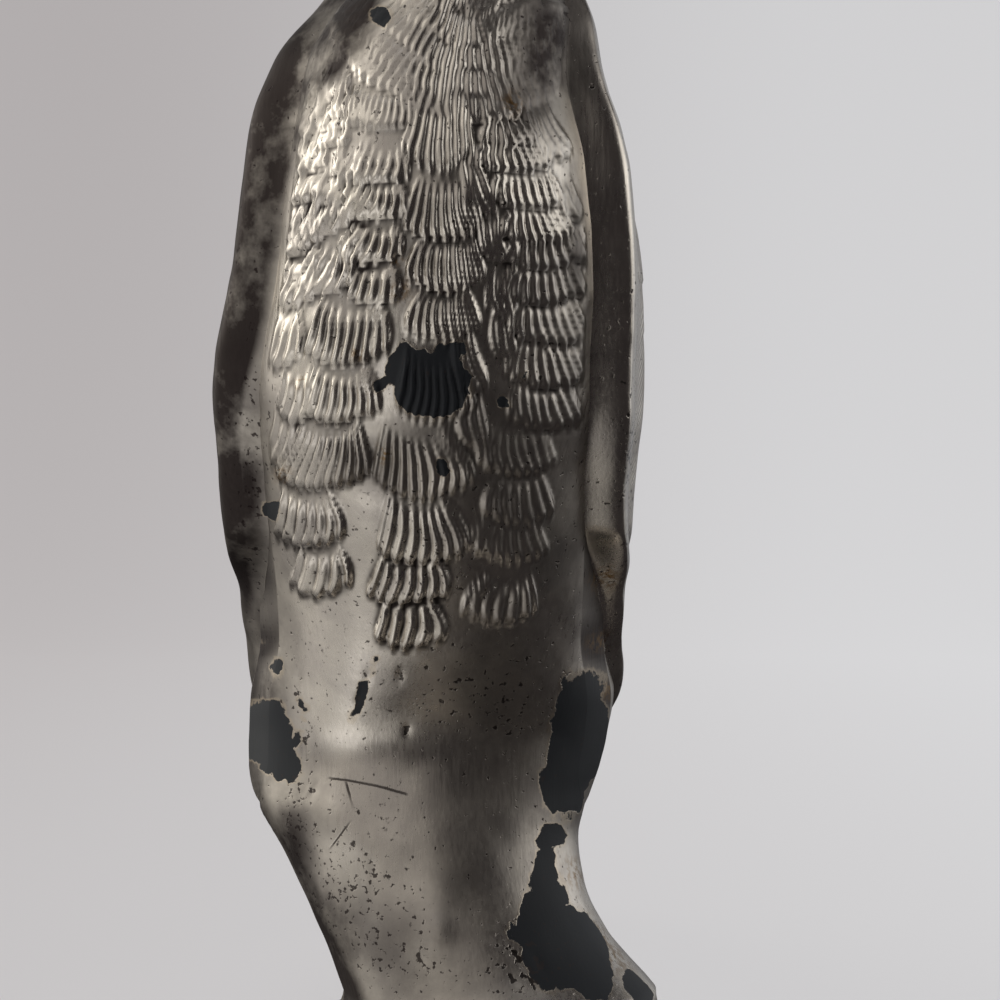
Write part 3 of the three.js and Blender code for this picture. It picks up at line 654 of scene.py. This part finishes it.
def tail_mesh():
    """The tail: low roof sections along a falling curve, with the edges, shafts and bars of its long feathers."""
    along, angle = np.meshgrid(
        np.linspace(0, 1, TAIL_ROWS + 1), 2 * np.pi * np.arange(TAIL_SIDES) / TAIL_SIDES, indexing="ij"
    )
    step = 0.01
    run = through(TAIL_DEPTH, along + step) - through(TAIL_DEPTH, along - step)
    fall = through(TAIL_HEIGHT, along + step) - through(TAIL_HEIGHT, along - step)
    length = np.hypot(run, fall)
    up = np.stack([np.zeros_like(run), -fall / length, run / length], axis=-1)
    rise = np.where(np.sin(angle) > 0, through(TAIL_ABOVE, along), through(TAIL_BELOW, along))
    half_width = through(TAIL_HALF_WIDTH, along)
    middle = np.stack([through(TAIL_SWEEP, along), through(TAIL_DEPTH, along), through(TAIL_HEIGHT, along)], axis=-1)
    across = -np.cos(angle)
    point = middle + up * (np.sin(angle) * rise)[..., None]
    point[..., 0] += across * half_width

    upper = smoothstep(0.02, 0.3, np.sin(angle))
    mm_along, mm_across = along * TAIL_LENGTH, np.abs(across) * half_width
    relief, from_shaft = np.zeros_like(along), mm_across
    for edge, shaft in TAIL_PAIRS:
        relief = relief - 0.34 * smoothstep(edge - 0.25, edge + 0.25, mm_across)
        relief = relief + 0.3 * np.exp(-(((mm_across - shaft) / 0.5) ** 2))
        from_shaft = np.where(mm_across > shaft - 2, np.abs(mm_across - shaft), from_shaft)
    feathered = smoothstep(TAIL_COVERTS_END - 0.05, TAIL_COVERTS_END + 0.03, along)
    bars = smoothstep(0.45, 0.8, np.sin((mm_along + 0.8 * from_shaft) * 2 * np.pi / BAR_PITCH)) * feathered
    tile, stroke = scales(across * 2.5 + 0.5, mm_along / 7.6, 5)
    relief = (relief - 0.2 * bars) * feathered + (1 - feathered) * (0.75 * tile + 0.22 * stroke)
    relief = upper * relief * (1 - smoothstep(0.94, 1, along))
    point = point + up * relief[..., None]
    masks = surface_masks(point, np.zeros_like(along), blurred(relief, 6, 3) - relief + 0.1 * upper * bars)
    masks["barb"] = (mm_along + 1.3 * from_shaft) / BARB_PITCH
    masks["barbed"] = feathered * upper
    ends = [point[0].mean(axis=0), point[-1].mean(axis=0)]
    return ring_mesh("cast_tail", point, ends, masks)


def joined_body(materials):
    """The casting with its tail grown into it: the two closed skins united into one."""
    body = new_piece("cast_body", body_mesh(), materials)
    tail = new_piece("cast_tail", tail_mesh(), materials)
    join = body.modifiers.new("tail", "BOOLEAN")
    join.operation = "UNION"
    join.solver = "MANIFOLD"
    join.object = tail
    united = bpy.data.meshes.new_from_object(body.evaluated_get(bpy.context.evaluated_depsgraph_get()))
    body.modifiers.clear()
    rough, tail_skin = body.data, tail.data
    body.data = united
    united.name = "cast_body"
    bpy.data.objects.remove(tail)
    bpy.data.meshes.remove(rough)
    bpy.data.meshes.remove(tail_skin)
    return body


def wing_place(station, across, side, lift):
    """A point over the side of the body: across runs from the wing's front edge to its back edge."""
    front, back = through(WING_FRONT_ANGLE, station), through(WING_BACK_ANGLE, station)
    angle = side * np.radians(front + (back - front) * across)
    return smooth_point(angle, station) + outward(angle, station) * (WING_GAP + lift)[..., None]


def wing_feathers(station, across, width):
    """Rows of scale-like coverts above, and long quills with raised shafts below, in millimetres. Also gives the
    phase of the fine barbs, which slant away from each shaft, and where they are cut."""
    downward = (WING_TOP - station) / (WING_TOP - WING_TIP)
    change = smoothstep(0.4, 0.5, downward)
    tile, stroke = scales(across * width / 6.5, (WING_TOP - station) / COVERT_LENGTH, 5)
    coverts = COVERT_RELIEF * tile + 0.22 * stroke
    count = across * QUILLS
    part = count - np.floor(count)
    from_shaft = (part - SHAFT_PLACE) * width / QUILLS
    shaft = 0.3 * np.exp(-((from_shaft / 0.45) ** 2))
    quills = QUILL_RELIEF * part * smoothstep(0, 0.05, 1 - part) + shaft
    phase = (1.3 * np.abs(from_shaft) - station) / BARB_PITCH
    return coverts * (1 - change) + quills * change, phase, change


def wing_lift(station, across, side):
    """Height of a wing's outer face. It grows out of the breast in a smooth rise, rolls over along the front and
    carries its feathers behind the roll; its other edges are rounded off. Also gives the feathers alone, and the
    phase and strength of their barbs."""
    zero = np.zeros_like(station)
    ends = wing_place(station, zero + 1, side, zero) - wing_place(station, zero, side, zero)
    width = 1.1 * np.linalg.norm(ends, axis=-1)
    from_front = across * width
    rise = smoothstep(0, WING_RISE[side], from_front)
    end = np.minimum(WING_TOP - station, station - WING_TIP)
    edge = np.minimum((1 - across) * width, end)
    inner = np.clip(edge / WING_EDGE_RADIUS, 0, 1)
    rounded = np.sqrt(1 - (1 - inner) ** 2)
    shoulder = 1 - (1 - WING_TOP_SHARE) * smoothstep(SHOULDER, WING_TOP - 9, station)
    roll_end = smoothstep(WING_ROLL_END - 4, WING_ROLL_END + 4, station)
    roll = WING_ROLL * roll_end * np.exp(-(((from_front - WING_RISE[side]) / WING_ROLL_WIDTH) ** 2))
    feathered = smoothstep(*FEATHERS_BEHIND_ROLL, from_front) * inner
    feathers, phase, barbed = wing_feathers(station, across, width)
    relief = feathered * feathers
    lift = shoulder * (rise * rounded * (WING_THICKNESS + roll) + relief) - WING_SUNK * (1 - rise * rounded)
    return lift, relief, phase, barbed * feathered


def wing_mesh(name, side):
    """A folded wing: closed rings that run over its outer face from front to back and return along its inner face.
    Side 1 is the bird's own left, towards +X, and -1 its right."""
    rows = np.arange(1, WING_ROWS) / WING_ROWS
    stations = WING_TIP + (WING_TOP - WING_TIP) * (1 - np.cos(np.pi * rows)) / 2
    outer_across = (1 - np.cos(np.pi * np.linspace(0, 1, WING_COLUMNS + 1))) / 2
    inner_across = (1 - np.cos(np.pi * np.linspace(1, 0, WING_INNER_COLUMNS + 2)[1:-1])) / 2
    station, across = np.meshgrid(stations, outer_across, indexing="ij")
    lift, relief, phase, barbed = wing_lift(station, across, side)
    place = wing_place(station, across, side, np.zeros_like(lift))
    dents = 0.14 * noise(place, 7, 71) + 0.06 * noise(place, 2.4, 72)
    outer = wing_place(station, across, side, lift + dents * np.clip(lift, 0, 1))
    inner_station, inner_grid = np.meshgrid(stations, inner_across, indexing="ij")
    sunk = np.zeros(inner_grid.shape) - WING_SUNK - WING_INNER_DROP
    inner = wing_place(inner_station, inner_grid, side, sunk)
    rings = np.concatenate([outer, inner], axis=1)
    plain = np.zeros(inner_grid.shape)
    groove = np.concatenate([blurred(relief, 8, 3) - relief, plain], axis=1)
    ahead = section(stations[:, None])["y"] - rings[..., 1]
    masks = surface_masks(rings, smoothstep(-2, 5, ahead), groove)
    masks["barb"] = np.concatenate([phase, plain], axis=1)
    masks["barbed"] = np.concatenate([barbed, plain], axis=1)
    if side < 0:
        rings = rings[:, ::-1]
        masks = {name: values[:, ::-1] for name, values in masks.items()}
    half = np.full(1, 0.5)
    ends = [wing_place(np.full(1, float(end)), half, side, half * 0 - WING_SUNK)[0] for end in (WING_TIP, WING_TOP)]
    return ring_mesh(name, rings, ends, masks)


# Materials
class Nodes:
    """Places nodes in a tree and links them in one call each."""

    def __init__(self, tree):
        self.tree = tree

    def add(self, kind, inputs=None, **settings):
        node = self.tree.nodes.new(kind)
        for name, value in settings.items():
            setattr(node, name, value)
        for key, value in (inputs or {}).items():
            if isinstance(value, bpy.types.NodeSocket):
                self.tree.links.new(value, node.inputs[key])
            else:
                node.inputs[key].default_value = value
        return node

    def math(self, operation, first, second=0.0, clamp=False):
        return self.add("ShaderNodeMath", {0: first, 1: second}, operation=operation, use_clamp=clamp).outputs[0]

    def steps(self, value, low, high, to_low=0.0, to_high=1.0):
        inputs = {"Value": value, "From Min": low, "From Max": high, "To Min": to_low, "To Max": to_high}
        return self.add("ShaderNodeMapRange", inputs, interpolation_type="SMOOTHSTEP").outputs["Result"]

    def blend(self, share, first, second, kind="MIX"):
        node = self.add("ShaderNodeMix", data_type="RGBA", blend_type=kind)
        for name, value in (("Factor", share), ("A", first), ("B", second)):
            slot = next(s for s in node.inputs if s.name == name and s.enabled)
            if isinstance(value, bpy.types.NodeSocket):
                self.tree.links.new(value, slot)
            else:
                slot.default_value = value
        return next(s for s in node.outputs if s.enabled)

    def noise(self, vector, scale, detail=4.0, rough=0.55):
        inputs = {"Vector": vector, "Scale": scale, "Detail": detail, "Roughness": rough}
        return self.add("ShaderNodeTexNoise", inputs).outputs["Fac"]


def node_group(name, inputs, outputs):
    """A new shader node group with the named sockets, given as (name, kind, default)."""
    tree = bpy.data.node_groups.new(name, "ShaderNodeTree")
    for socket, kind, default in inputs:
        made = tree.interface.new_socket(socket, in_out="INPUT", socket_type=kind)
        if default is not None:
            made.default_value = default
    for socket, kind in outputs:
        tree.interface.new_socket(socket, in_out="OUTPUT", socket_type=kind)
    nodes = Nodes(tree)
    return tree, nodes, nodes.add("NodeGroupInput"), nodes.add("NodeGroupOutput")


def scratches_group():
    """Fine brushed scratches: noise drawn out along three directions of the object's own coordinates."""
    tree, nodes, given, put = node_group(
        "Brushed scratches",
        [("Vector", "NodeSocketVector", None), ("Fineness", "NodeSocketFloat", 1.0)],
        [("Height", "NodeSocketFloat"), ("Glint", "NodeSocketFloat")],
    )
    heights = []
    for turn, stretch in ((radians(34), 14.0), (radians(-20), 10.0), (radians(84), 12.0)):
        mapped = nodes.add(
            "ShaderNodeMapping",
            {"Vector": given.outputs["Vector"], "Rotation": (0, turn, 0), "Scale": (2600.0, 2600.0, 2600.0 / stretch)},
        )
        heights.append(nodes.noise(mapped.outputs["Vector"], given.outputs["Fineness"], 2.0, 0.6))
    total = nodes.math("ADD", nodes.math("ADD", heights[0], heights[1]), heights[2])
    height = nodes.math("DIVIDE", total, 3.0)
    tree.links.new(height, put.inputs["Height"])
    tree.links.new(nodes.steps(height, 0.4, 0.62), put.inputs["Glint"])
    return tree


def patina_and_shade_group():
    """Colour of worn plate: dark in the grooves, and dark where the tarnish mask lies, which holds tarnish and painted
    shade; warm and uneven elsewhere, with stains.
    """
    tree, nodes, given, put = node_group(
        "Worn plate and painted shade",
        [
            ("Vector", "NodeSocketVector", None), ("Groove", "NodeSocketFloat", 0.0), ("Tarnish and shade", "NodeSocketFloat", 0.0),
            ("Stain", "NodeSocketFloat", 0.0), ("Plate", "NodeSocketColor", (0.6, 0.57, 0.52, 1)),
            ("Dark", "NodeSocketColor", (0.03, 0.022, 0.02, 1)), ("Brown", "NodeSocketColor", (0.2, 0.12, 0.04, 1)),
        ],
        [("Color", "NodeSocketColor"), ("Dirt and shade", "NodeSocketFloat")],
    )
    vector = given.outputs["Vector"]
    clouds = nodes.noise(vector, 130.0, 5.0, 0.6)
    specks = nodes.noise(vector, 900.0, 3.0, 0.7)
    cut = nodes.steps(given.outputs["Groove"], 0.03, 0.3)
    # Tarnish film and painted shade: the plate is darkened wherever the tarnish mask is high
    tarnish_and_shade_film = nodes.math("MULTIPLY", given.outputs["Tarnish and shade"], nodes.steps(clouds, 0.2, 0.62, 0.55, 1.15), clamp=True)
    spots = nodes.math("MULTIPLY", nodes.steps(specks, 0.62, 0.72), nodes.steps(clouds, 0.45, 0.62))
    dirt_and_shade = nodes.math("MAXIMUM", nodes.math("MAXIMUM", cut, tarnish_and_shade_film), nodes.math("MULTIPLY", spots, 0.8))
    tone = nodes.blend(nodes.steps(clouds, 0.3, 0.7), given.outputs["Plate"], (0.5, 0.46, 0.42, 1), "MIX")
    color = nodes.blend(nodes.math("MULTIPLY", dirt_and_shade, 0.96), tone, given.outputs["Dark"])
    patchy = nodes.math("MULTIPLY", given.outputs["Stain"], nodes.steps(specks, 0.42, 0.58), clamp=True)
    color = nodes.blend(patchy, color, given.outputs["Brown"])
    tree.links.new(color, put.inputs["Color"])
    tree.links.new(dirt_and_shade, put.inputs["Dirt and shade"])
    return tree


def bare_group():
    """Where the plate is gone: the patch value with fine noise at its edge, and the bright torn rim round it."""
    tree, nodes, given, put = node_group(
        "Lost plate",
        [("Vector", "NodeSocketVector", None), ("Bare", "NodeSocketFloat", -1.0)],
        [("Mask", "NodeSocketFloat"), ("Rim", "NodeSocketFloat"), ("Grain", "NodeSocketFloat")],
    )
    grain = nodes.noise(given.outputs["Vector"], 700.0, 4.0, 0.65)
    edge = nodes.math("ADD", given.outputs["Bare"], nodes.math("MULTIPLY", nodes.math("SUBTRACT", grain, 0.5), 0.55))
    mask = nodes.steps(edge, 0.0, 0.05)
    rim = nodes.math("MULTIPLY", nodes.steps(edge, -0.16, -0.02), nodes.math("SUBTRACT", 1.0, mask))
    tree.links.new(mask, put.inputs["Mask"])
    tree.links.new(rim, put.inputs["Rim"])
    tree.links.new(grain, put.inputs["Grain"])
    return tree


MASKS = (
    "groove", "bare", "stain", "tarnish_and_shade", "pitted", "crack", "cracked", "branch", "branched", "barb", "barbed",
)


def plate_material(name, groups, finish, smoothness):
    """Worn silver plate over a matte blue-black ground, read from the piece's own masks."""
    material = bpy.data.materials.new(name)
    material.use_nodes = True
    material.node_tree.nodes.clear()
    nodes = Nodes(material.node_tree)
    link = material.node_tree.links.new
    vector = nodes.add("ShaderNodeTexCoord").outputs["Object"]
    value = {key: nodes.add("ShaderNodeAttribute", attribute_name=key).outputs["Fac"] for key in MASKS}
    scratches = nodes.add("ShaderNodeGroup", node_tree=groups["scratches"])
    # This group paints groove patina, stains, and the tarnish mask's tarnish and painted shade into the colour
    worn = nodes.add("ShaderNodeGroup", node_tree=groups["patina"])
    lost = nodes.add("ShaderNodeGroup", node_tree=groups["bare"])
    for group in (scratches, worn, lost):
        link(vector, group.inputs["Vector"])
    link(value["groove"], worn.inputs["Groove"])
    # The tarnish mask brings tarnish and painted shade into the plate's colour
    link(value["tarnish_and_shade"], worn.inputs["Tarnish and shade"])
    link(value["stain"], worn.inputs["Stain"])
    link(value["bare"], lost.inputs["Bare"])
    worn.inputs["Plate"].default_value = (*finish.plate_color, 1)
    worn.inputs["Dark"].default_value = (*finish.patina_and_shade_color, 1)
    worn.inputs["Brown"].default_value = (*finish.stain_color, 1)

    mask, rim = lost.outputs["Mask"], lost.outputs["Rim"]
    color = nodes.blend(mask, worn.outputs["Color"], (*finish.bare_color, 1))
    color = nodes.blend(nodes.math("MULTIPLY", rim, 0.45), color, (*finish.rim_color, 1))
    pits = nodes.noise(vector, 1500.0, 2.0, 0.5)
    pits = nodes.steps(nodes.math("ADD", pits, nodes.math("MULTIPLY", value["pitted"], 0.3)), 0.66, 0.74)
    sunk = pits
    for distance, runs in (("crack", "cracked"), ("branch", "branched")):
        apart = nodes.math("ABSOLUTE", nodes.math("ADD", value[distance], nodes.math("MULTIPLY", scratches.outputs["Height"], 1.5)))
        line = nodes.math("MULTIPLY", nodes.steps(apart, 1.9, 0.7), value[runs])
        sunk = nodes.math("MAXIMUM", sunk, line)
    color = nodes.blend(nodes.math("MULTIPLY", sunk, 0.85), color, (*finish.patina_and_shade_color, 1))
    smooth = nodes.math("SUBTRACT", smoothness, nodes.math("MULTIPLY", scratches.outputs["Glint"], 0.08))
    rough = nodes.math("ADD", smooth, nodes.math("MULTIPLY", worn.outputs["Dirt and shade"], 0.3))
    rough = nodes.math("MAXIMUM", rough, nodes.math("MULTIPLY", mask, 0.62), clamp=True)
    metal = nodes.math("SUBTRACT", 1.0, nodes.math("MULTIPLY", mask, 0.85))
    height = nodes.math("ADD", nodes.math("MULTIPLY", scratches.outputs["Height"], 0.5), nodes.math("MULTIPLY", lost.outputs["Grain"], 0.35))
    height = nodes.math("SUBTRACT", height, nodes.math("MAXIMUM", mask, sunk))
    wave = nodes.math("SINE", nodes.math("MULTIPLY", value["barb"], 2 * np.pi))
    height = nodes.math("ADD", height, nodes.math("MULTIPLY", wave, value["barbed"]))
    bump = nodes.add("ShaderNodeBump", {"Height": height, "Strength": 0.35, "Distance": 0.00012})
    shader = nodes.add("ShaderNodeBsdfPrincipled", {"Base Color": color, "Roughness": rough, "Metallic": metal, "Normal": bump.outputs["Normal"]})
    output = nodes.add("ShaderNodeOutputMaterial")
    link(shader.outputs[0], output.inputs["Surface"])
    return material


def plate_materials(finish):
    found = bpy.data.materials.get("worn_body_plate"), bpy.data.materials.get("worn_wing_plate")
    if all(found):
        return found
    groups = {"scratches": scratches_group(), "patina": patina_and_shade_group(), "bare": bare_group()}
    body = plate_material("worn_body_plate", groups, finish, finish.body_roughness)
    wing = plate_material("worn_wing_plate", groups, finish, finish.wing_roughness)
    return body, wing


# Stage
def backdrop_mesh():
    """A floor that curves up into a wall all round: a profile of height over radius, turned about the middle."""
    bend = np.linspace(0, np.pi / 2, 25)[1:]
    radii = np.concatenate([np.linspace(0.02, 0.9, 30), 0.9 + 0.5 * np.sin(bend), np.full(6, 1.4)])
    heights = np.concatenate([np.zeros(30), 0.5 * (1 - np.cos(bend)), np.linspace(0.6, 1.6, 6)])
    turn = np.linspace(0, 2 * np.pi, 96, endpoint=False)
    x, y = radii[:, None] * np.cos(turn), radii[:, None] * np.sin(turn)
    rings = np.stack([x, y, np.broadcast_to(heights[:, None], x.shape)], axis=-1)
    rows, sides = x.shape
    row, side = np.meshgrid(np.arange(rows - 1), np.arange(sides), indexing="ij")
    low, low_next = row * sides + side, row * sides + (side + 1) % sides
    quads = np.stack([low, low_next, low_next + sides, low + sides], axis=-1).reshape(-1, 4)
    mesh = bpy.data.meshes.new("backdrop")
    mesh.from_pydata(rings.reshape(-1, 3).tolist(), [], quads.tolist() + [list(range(sides))[::-1]])
    mesh.polygons.foreach_set("use_smooth", np.ones(len(mesh.polygons), bool))
    return mesh


def backdrop_material(stage):
    material = bpy.data.materials.new("pale_backdrop")
    material.use_nodes = True
    shader = material.node_tree.nodes["Principled BSDF"]
    shader.inputs["Base Color"].default_value = (*stage.floor_color, 1)
    shader.inputs["Roughness"].default_value = 0.9
    shader.inputs["Specular IOR Level"].default_value = 0.1
    nodes = Nodes(material.node_tree)
    place = nodes.add("ShaderNodeTexCoord").outputs["Object"]
    # Painted shade: the backdrop's glow darkens towards its left, from the plain colour to the shade colour
    sideways = nodes.add("ShaderNodeSeparateXYZ", {"Vector": place}).outputs["X"]
    share = nodes.steps(sideways, *BACKDROP_FADE)
    glow = nodes.blend(share, (*stage.backdrop_painted_shade, 1), (*stage.backdrop_color, 1))
    material.node_tree.links.new(glow, shader.inputs["Emission Color"])
    shader.inputs["Emission Strength"].default_value = stage.backdrop_glow
    return material


# From where to where the backdrop's painted shade on its left gives way to its plain colour towards the right, in
# metres
BACKDROP_FADE = (-0.3, 0.25)
# Soft boxes of the studio in degrees: turn from the front to the right, height, where each ends and is full,
# then its colour and strength
SOFT_BOXES = (
    (-118, 14, 34, 12, (1.0, 0.97, 0.90), 1.0),
    (-82, 24, 36, 12, (1.0, 0.97, 0.90), 0.9),
    (-112, 14, 17, 6, (1.0, 0.97, 0.90), 1.5),
    (-100, -14, 34, 10, (1.0, 0.97, 0.92), 0.35),
    (-30, 22, 50, 14, (1.0, 0.96, 0.91), 0.42),
    (-62, -44, 48, 14, (1.0, 0.98, 0.94), 0.5),
    (-45, -36, 20, 8, (1.0, 1.0, 1.0), 0.6),
    (84, 10, 30, 8, (1.0, 0.99, 0.96), 1.3),
    (118, 6, 24, 6, (0.96, 0.98, 1.0), 0.9),
    (150, 12, 30, 10, (0.94, 0.97, 1.0), 0.35),
    (0, 78, 42, 14, (1.0, 1.0, 1.0), 0.5),
    (180, 46, 40, 12, (1.0, 1.0, 1.0), 0.6),
)


def studio_world(stage):
    """Soft boxes as smooth round areas of the sky; the camera itself sees a plain pale colour."""
    world = bpy.data.worlds.new("studio")
    bpy.context.scene.world = world
    world.use_nodes = True
    world.node_tree.nodes.clear()
    nodes = Nodes(world.node_tree)
    direction = nodes.add("ShaderNodeTexCoord").outputs["Generated"]
    color = nodes.blend(0.0, (*stage.fill_color, 1), (0, 0, 0, 1))
    for turn, height, ends, full, tint, strength in SOFT_BOXES:
        level, side = np.cos(radians(height)), radians(turn)
        toward = (np.sin(side) * level, -np.cos(side) * level, np.sin(radians(height)))
        facing = nodes.add("ShaderNodeVectorMath", {0: direction, 1: toward}, operation="DOT_PRODUCT").outputs["Value"]
        share = nodes.steps(facing, np.cos(radians(ends)), np.cos(radians(full)))
        lit = tuple(channel * strength * stage.light_strength for channel in tint)
        color = nodes.blend(share, color, (*lit, 1), "ADD")
    surroundings = nodes.add("ShaderNodeBackground", {"Color": color})
    seen = nodes.add("ShaderNodeBackground", {"Color": (*stage.backdrop_color, 1)})
    mixed = nodes.add("ShaderNodeMixShader", {0: nodes.add("ShaderNodeLightPath").outputs["Is Camera Ray"]})
    world.node_tree.links.new(surroundings.outputs[0], mixed.inputs[1])
    world.node_tree.links.new(seen.outputs[0], mixed.inputs[2])
    world.node_tree.links.new(mixed.outputs[0], nodes.add("ShaderNodeOutputWorld").inputs["Surface"])


def main_camera():
    data = bpy.data.cameras.new("front_camera")
    data.lens = LENS
    data.sensor_width = SENSOR
    camera = bpy.data.objects.new("front_camera", data)
    bpy.context.collection.objects.link(camera)
    camera.location = np.array(EYE) * MM
    camera.rotation_euler = (radians(90), 0, 0)
    bpy.context.scene.camera = camera
    bpy.context.scene.view_settings.view_transform = "Standard"


class PheasantFinish(bpy.types.PropertyGroup):
    plate_color: bpy.props.FloatVectorProperty(
        name="Plate", description="Colour of the silver plate", default=(0.67, 0.62, 0.55), subtype="COLOR")
    # Dark colour of groove patina and pits, also the colour of the painted shade from the tarnish mask
    patina_and_shade_color: bpy.props.FloatVectorProperty(
        name="Patina", description="Dark patina in the grooves", default=(0.024, 0.017, 0.017), subtype="COLOR")
    stain_color: bpy.props.FloatVectorProperty(
        name="Stain", description="Yellow-brown stains", default=(0.22, 0.13, 0.05), subtype="COLOR")
    bare_color: bpy.props.FloatVectorProperty(
        name="Bare ground", description="Matte ground where the plate is gone", default=(0.012, 0.015, 0.02), subtype="COLOR")
    rim_color: bpy.props.FloatVectorProperty(
        name="Torn edge", description="Edge of the plate round a bare patch", default=(0.5, 0.42, 0.32), subtype="COLOR")
    body_roughness: bpy.props.FloatProperty(
        name="Body roughness", description="Roughness of the body's plate", default=0.3, min=0, max=1, subtype="FACTOR")
    wing_roughness: bpy.props.FloatProperty(
        name="Wing roughness", description="Roughness of the wings' plate", default=0.26, min=0, max=1, subtype="FACTOR")


class PheasantStage(bpy.types.PropertyGroup):
    backdrop_color: bpy.props.FloatVectorProperty(
        name="Backdrop", description="Colour behind the figurine", default=(0.74, 0.74, 0.76), subtype="COLOR")
    # Colour of the painted shade on the backdrop's left side
    backdrop_painted_shade: bpy.props.FloatVectorProperty(
        name="Backdrop shade", description="Colour of the darker side", default=(0.5, 0.47, 0.475), subtype="COLOR")
    floor_color: bpy.props.FloatVectorProperty(
        name="Floor", description="Colour of the floor's own surface", default=(0.3, 0.3, 0.3), subtype="COLOR")
    fill_color: bpy.props.FloatVectorProperty(
        name="Surroundings", description="Dim colour of the room round the lights", default=(0.035, 0.031, 0.032), subtype="COLOR")
    backdrop_glow: bpy.props.FloatProperty(
        name="Backdrop glow", description="Even light of the backdrop", default=0.7, min=0, max=2)
    light_strength: bpy.props.FloatProperty(
        name="Light", description="Strength of all soft boxes", default=1.0, min=0, max=10)


class PHEASANT_OT_body(bpy.types.Operator):
    """Add the cast body with its head, tail and ground"""

    bl_idname = "pheasant.body"
    bl_label = "Cast body"

    def execute(self, context):
        body = joined_body(plate_materials(context.scene.pheasant_finish)[:1])
        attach(body, "root")
        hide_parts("body")
        return {"FINISHED"}


class PHEASANT_OT_wings(bpy.types.Operator):
    """Add the two folded wings on the sides of the body"""

    bl_idname = "pheasant.wings"
    bl_label = "Folded wings"

    def execute(self, context):
        material = plate_materials(context.scene.pheasant_finish)[1]
        for node, side in (("left_wing", 1), ("right_wing", -1)):
            wing = new_piece(node + "_plate", wing_mesh(node + "_plate", side), [material])
            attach(wing, "root")
            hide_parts(node)
        return {"FINISHED"}


class PHEASANT_OT_stage(bpy.types.Operator):
    """Add the pale floor and backdrop, the soft studio light and the front camera"""

    bl_idname = "pheasant.stage"
    bl_label = "Studio stage"

    def execute(self, context):
        stage = context.scene.pheasant_stage
        backdrop = new_piece("backdrop", backdrop_mesh(), [backdrop_material(stage)])
        backdrop.visible_glossy = False
        backdrop.visible_diffuse = False
        backdrop.visible_shadow = False
        studio_world(stage)
        main_camera()
        return {"FINISHED"}


class PHEASANT_PT_panel(bpy.types.Panel):
    """Lists the figurine's pieces and finishes in the sidebar"""

    bl_label = "Metal pheasant"
    bl_idname = "PHEASANT_PT_panel"
    bl_space_type = "VIEW_3D"
    bl_region_type = "UI"
    bl_category = "Pheasant"

    def draw(self, context):
        for operator in (PHEASANT_OT_body, PHEASANT_OT_wings, PHEASANT_OT_stage):
            self.layout.operator(operator.bl_idname)
        for group in (context.scene.pheasant_finish, context.scene.pheasant_stage):
            for name in group.__annotations__:
                self.layout.prop(group, name)


CLASSES = (PheasantFinish, PheasantStage, PHEASANT_OT_body, PHEASANT_OT_wings, PHEASANT_OT_stage, PHEASANT_PT_panel)


def register():
    for cls in CLASSES:
        bpy.utils.register_class(cls)
    bpy.types.Scene.pheasant_finish = bpy.props.PointerProperty(type=PheasantFinish)
    bpy.types.Scene.pheasant_stage = bpy.props.PointerProperty(type=PheasantStage)


def unregister():
    del bpy.types.Scene.pheasant_stage
    del bpy.types.Scene.pheasant_finish
    for cls in reversed(CLASSES):
        bpy.utils.unregister_class(cls)


def main():
    register()
    bpy.ops.pheasant.body()
    bpy.ops.pheasant.wings()
    bpy.ops.pheasant.stage()


if __name__ == "__main__":
    main()
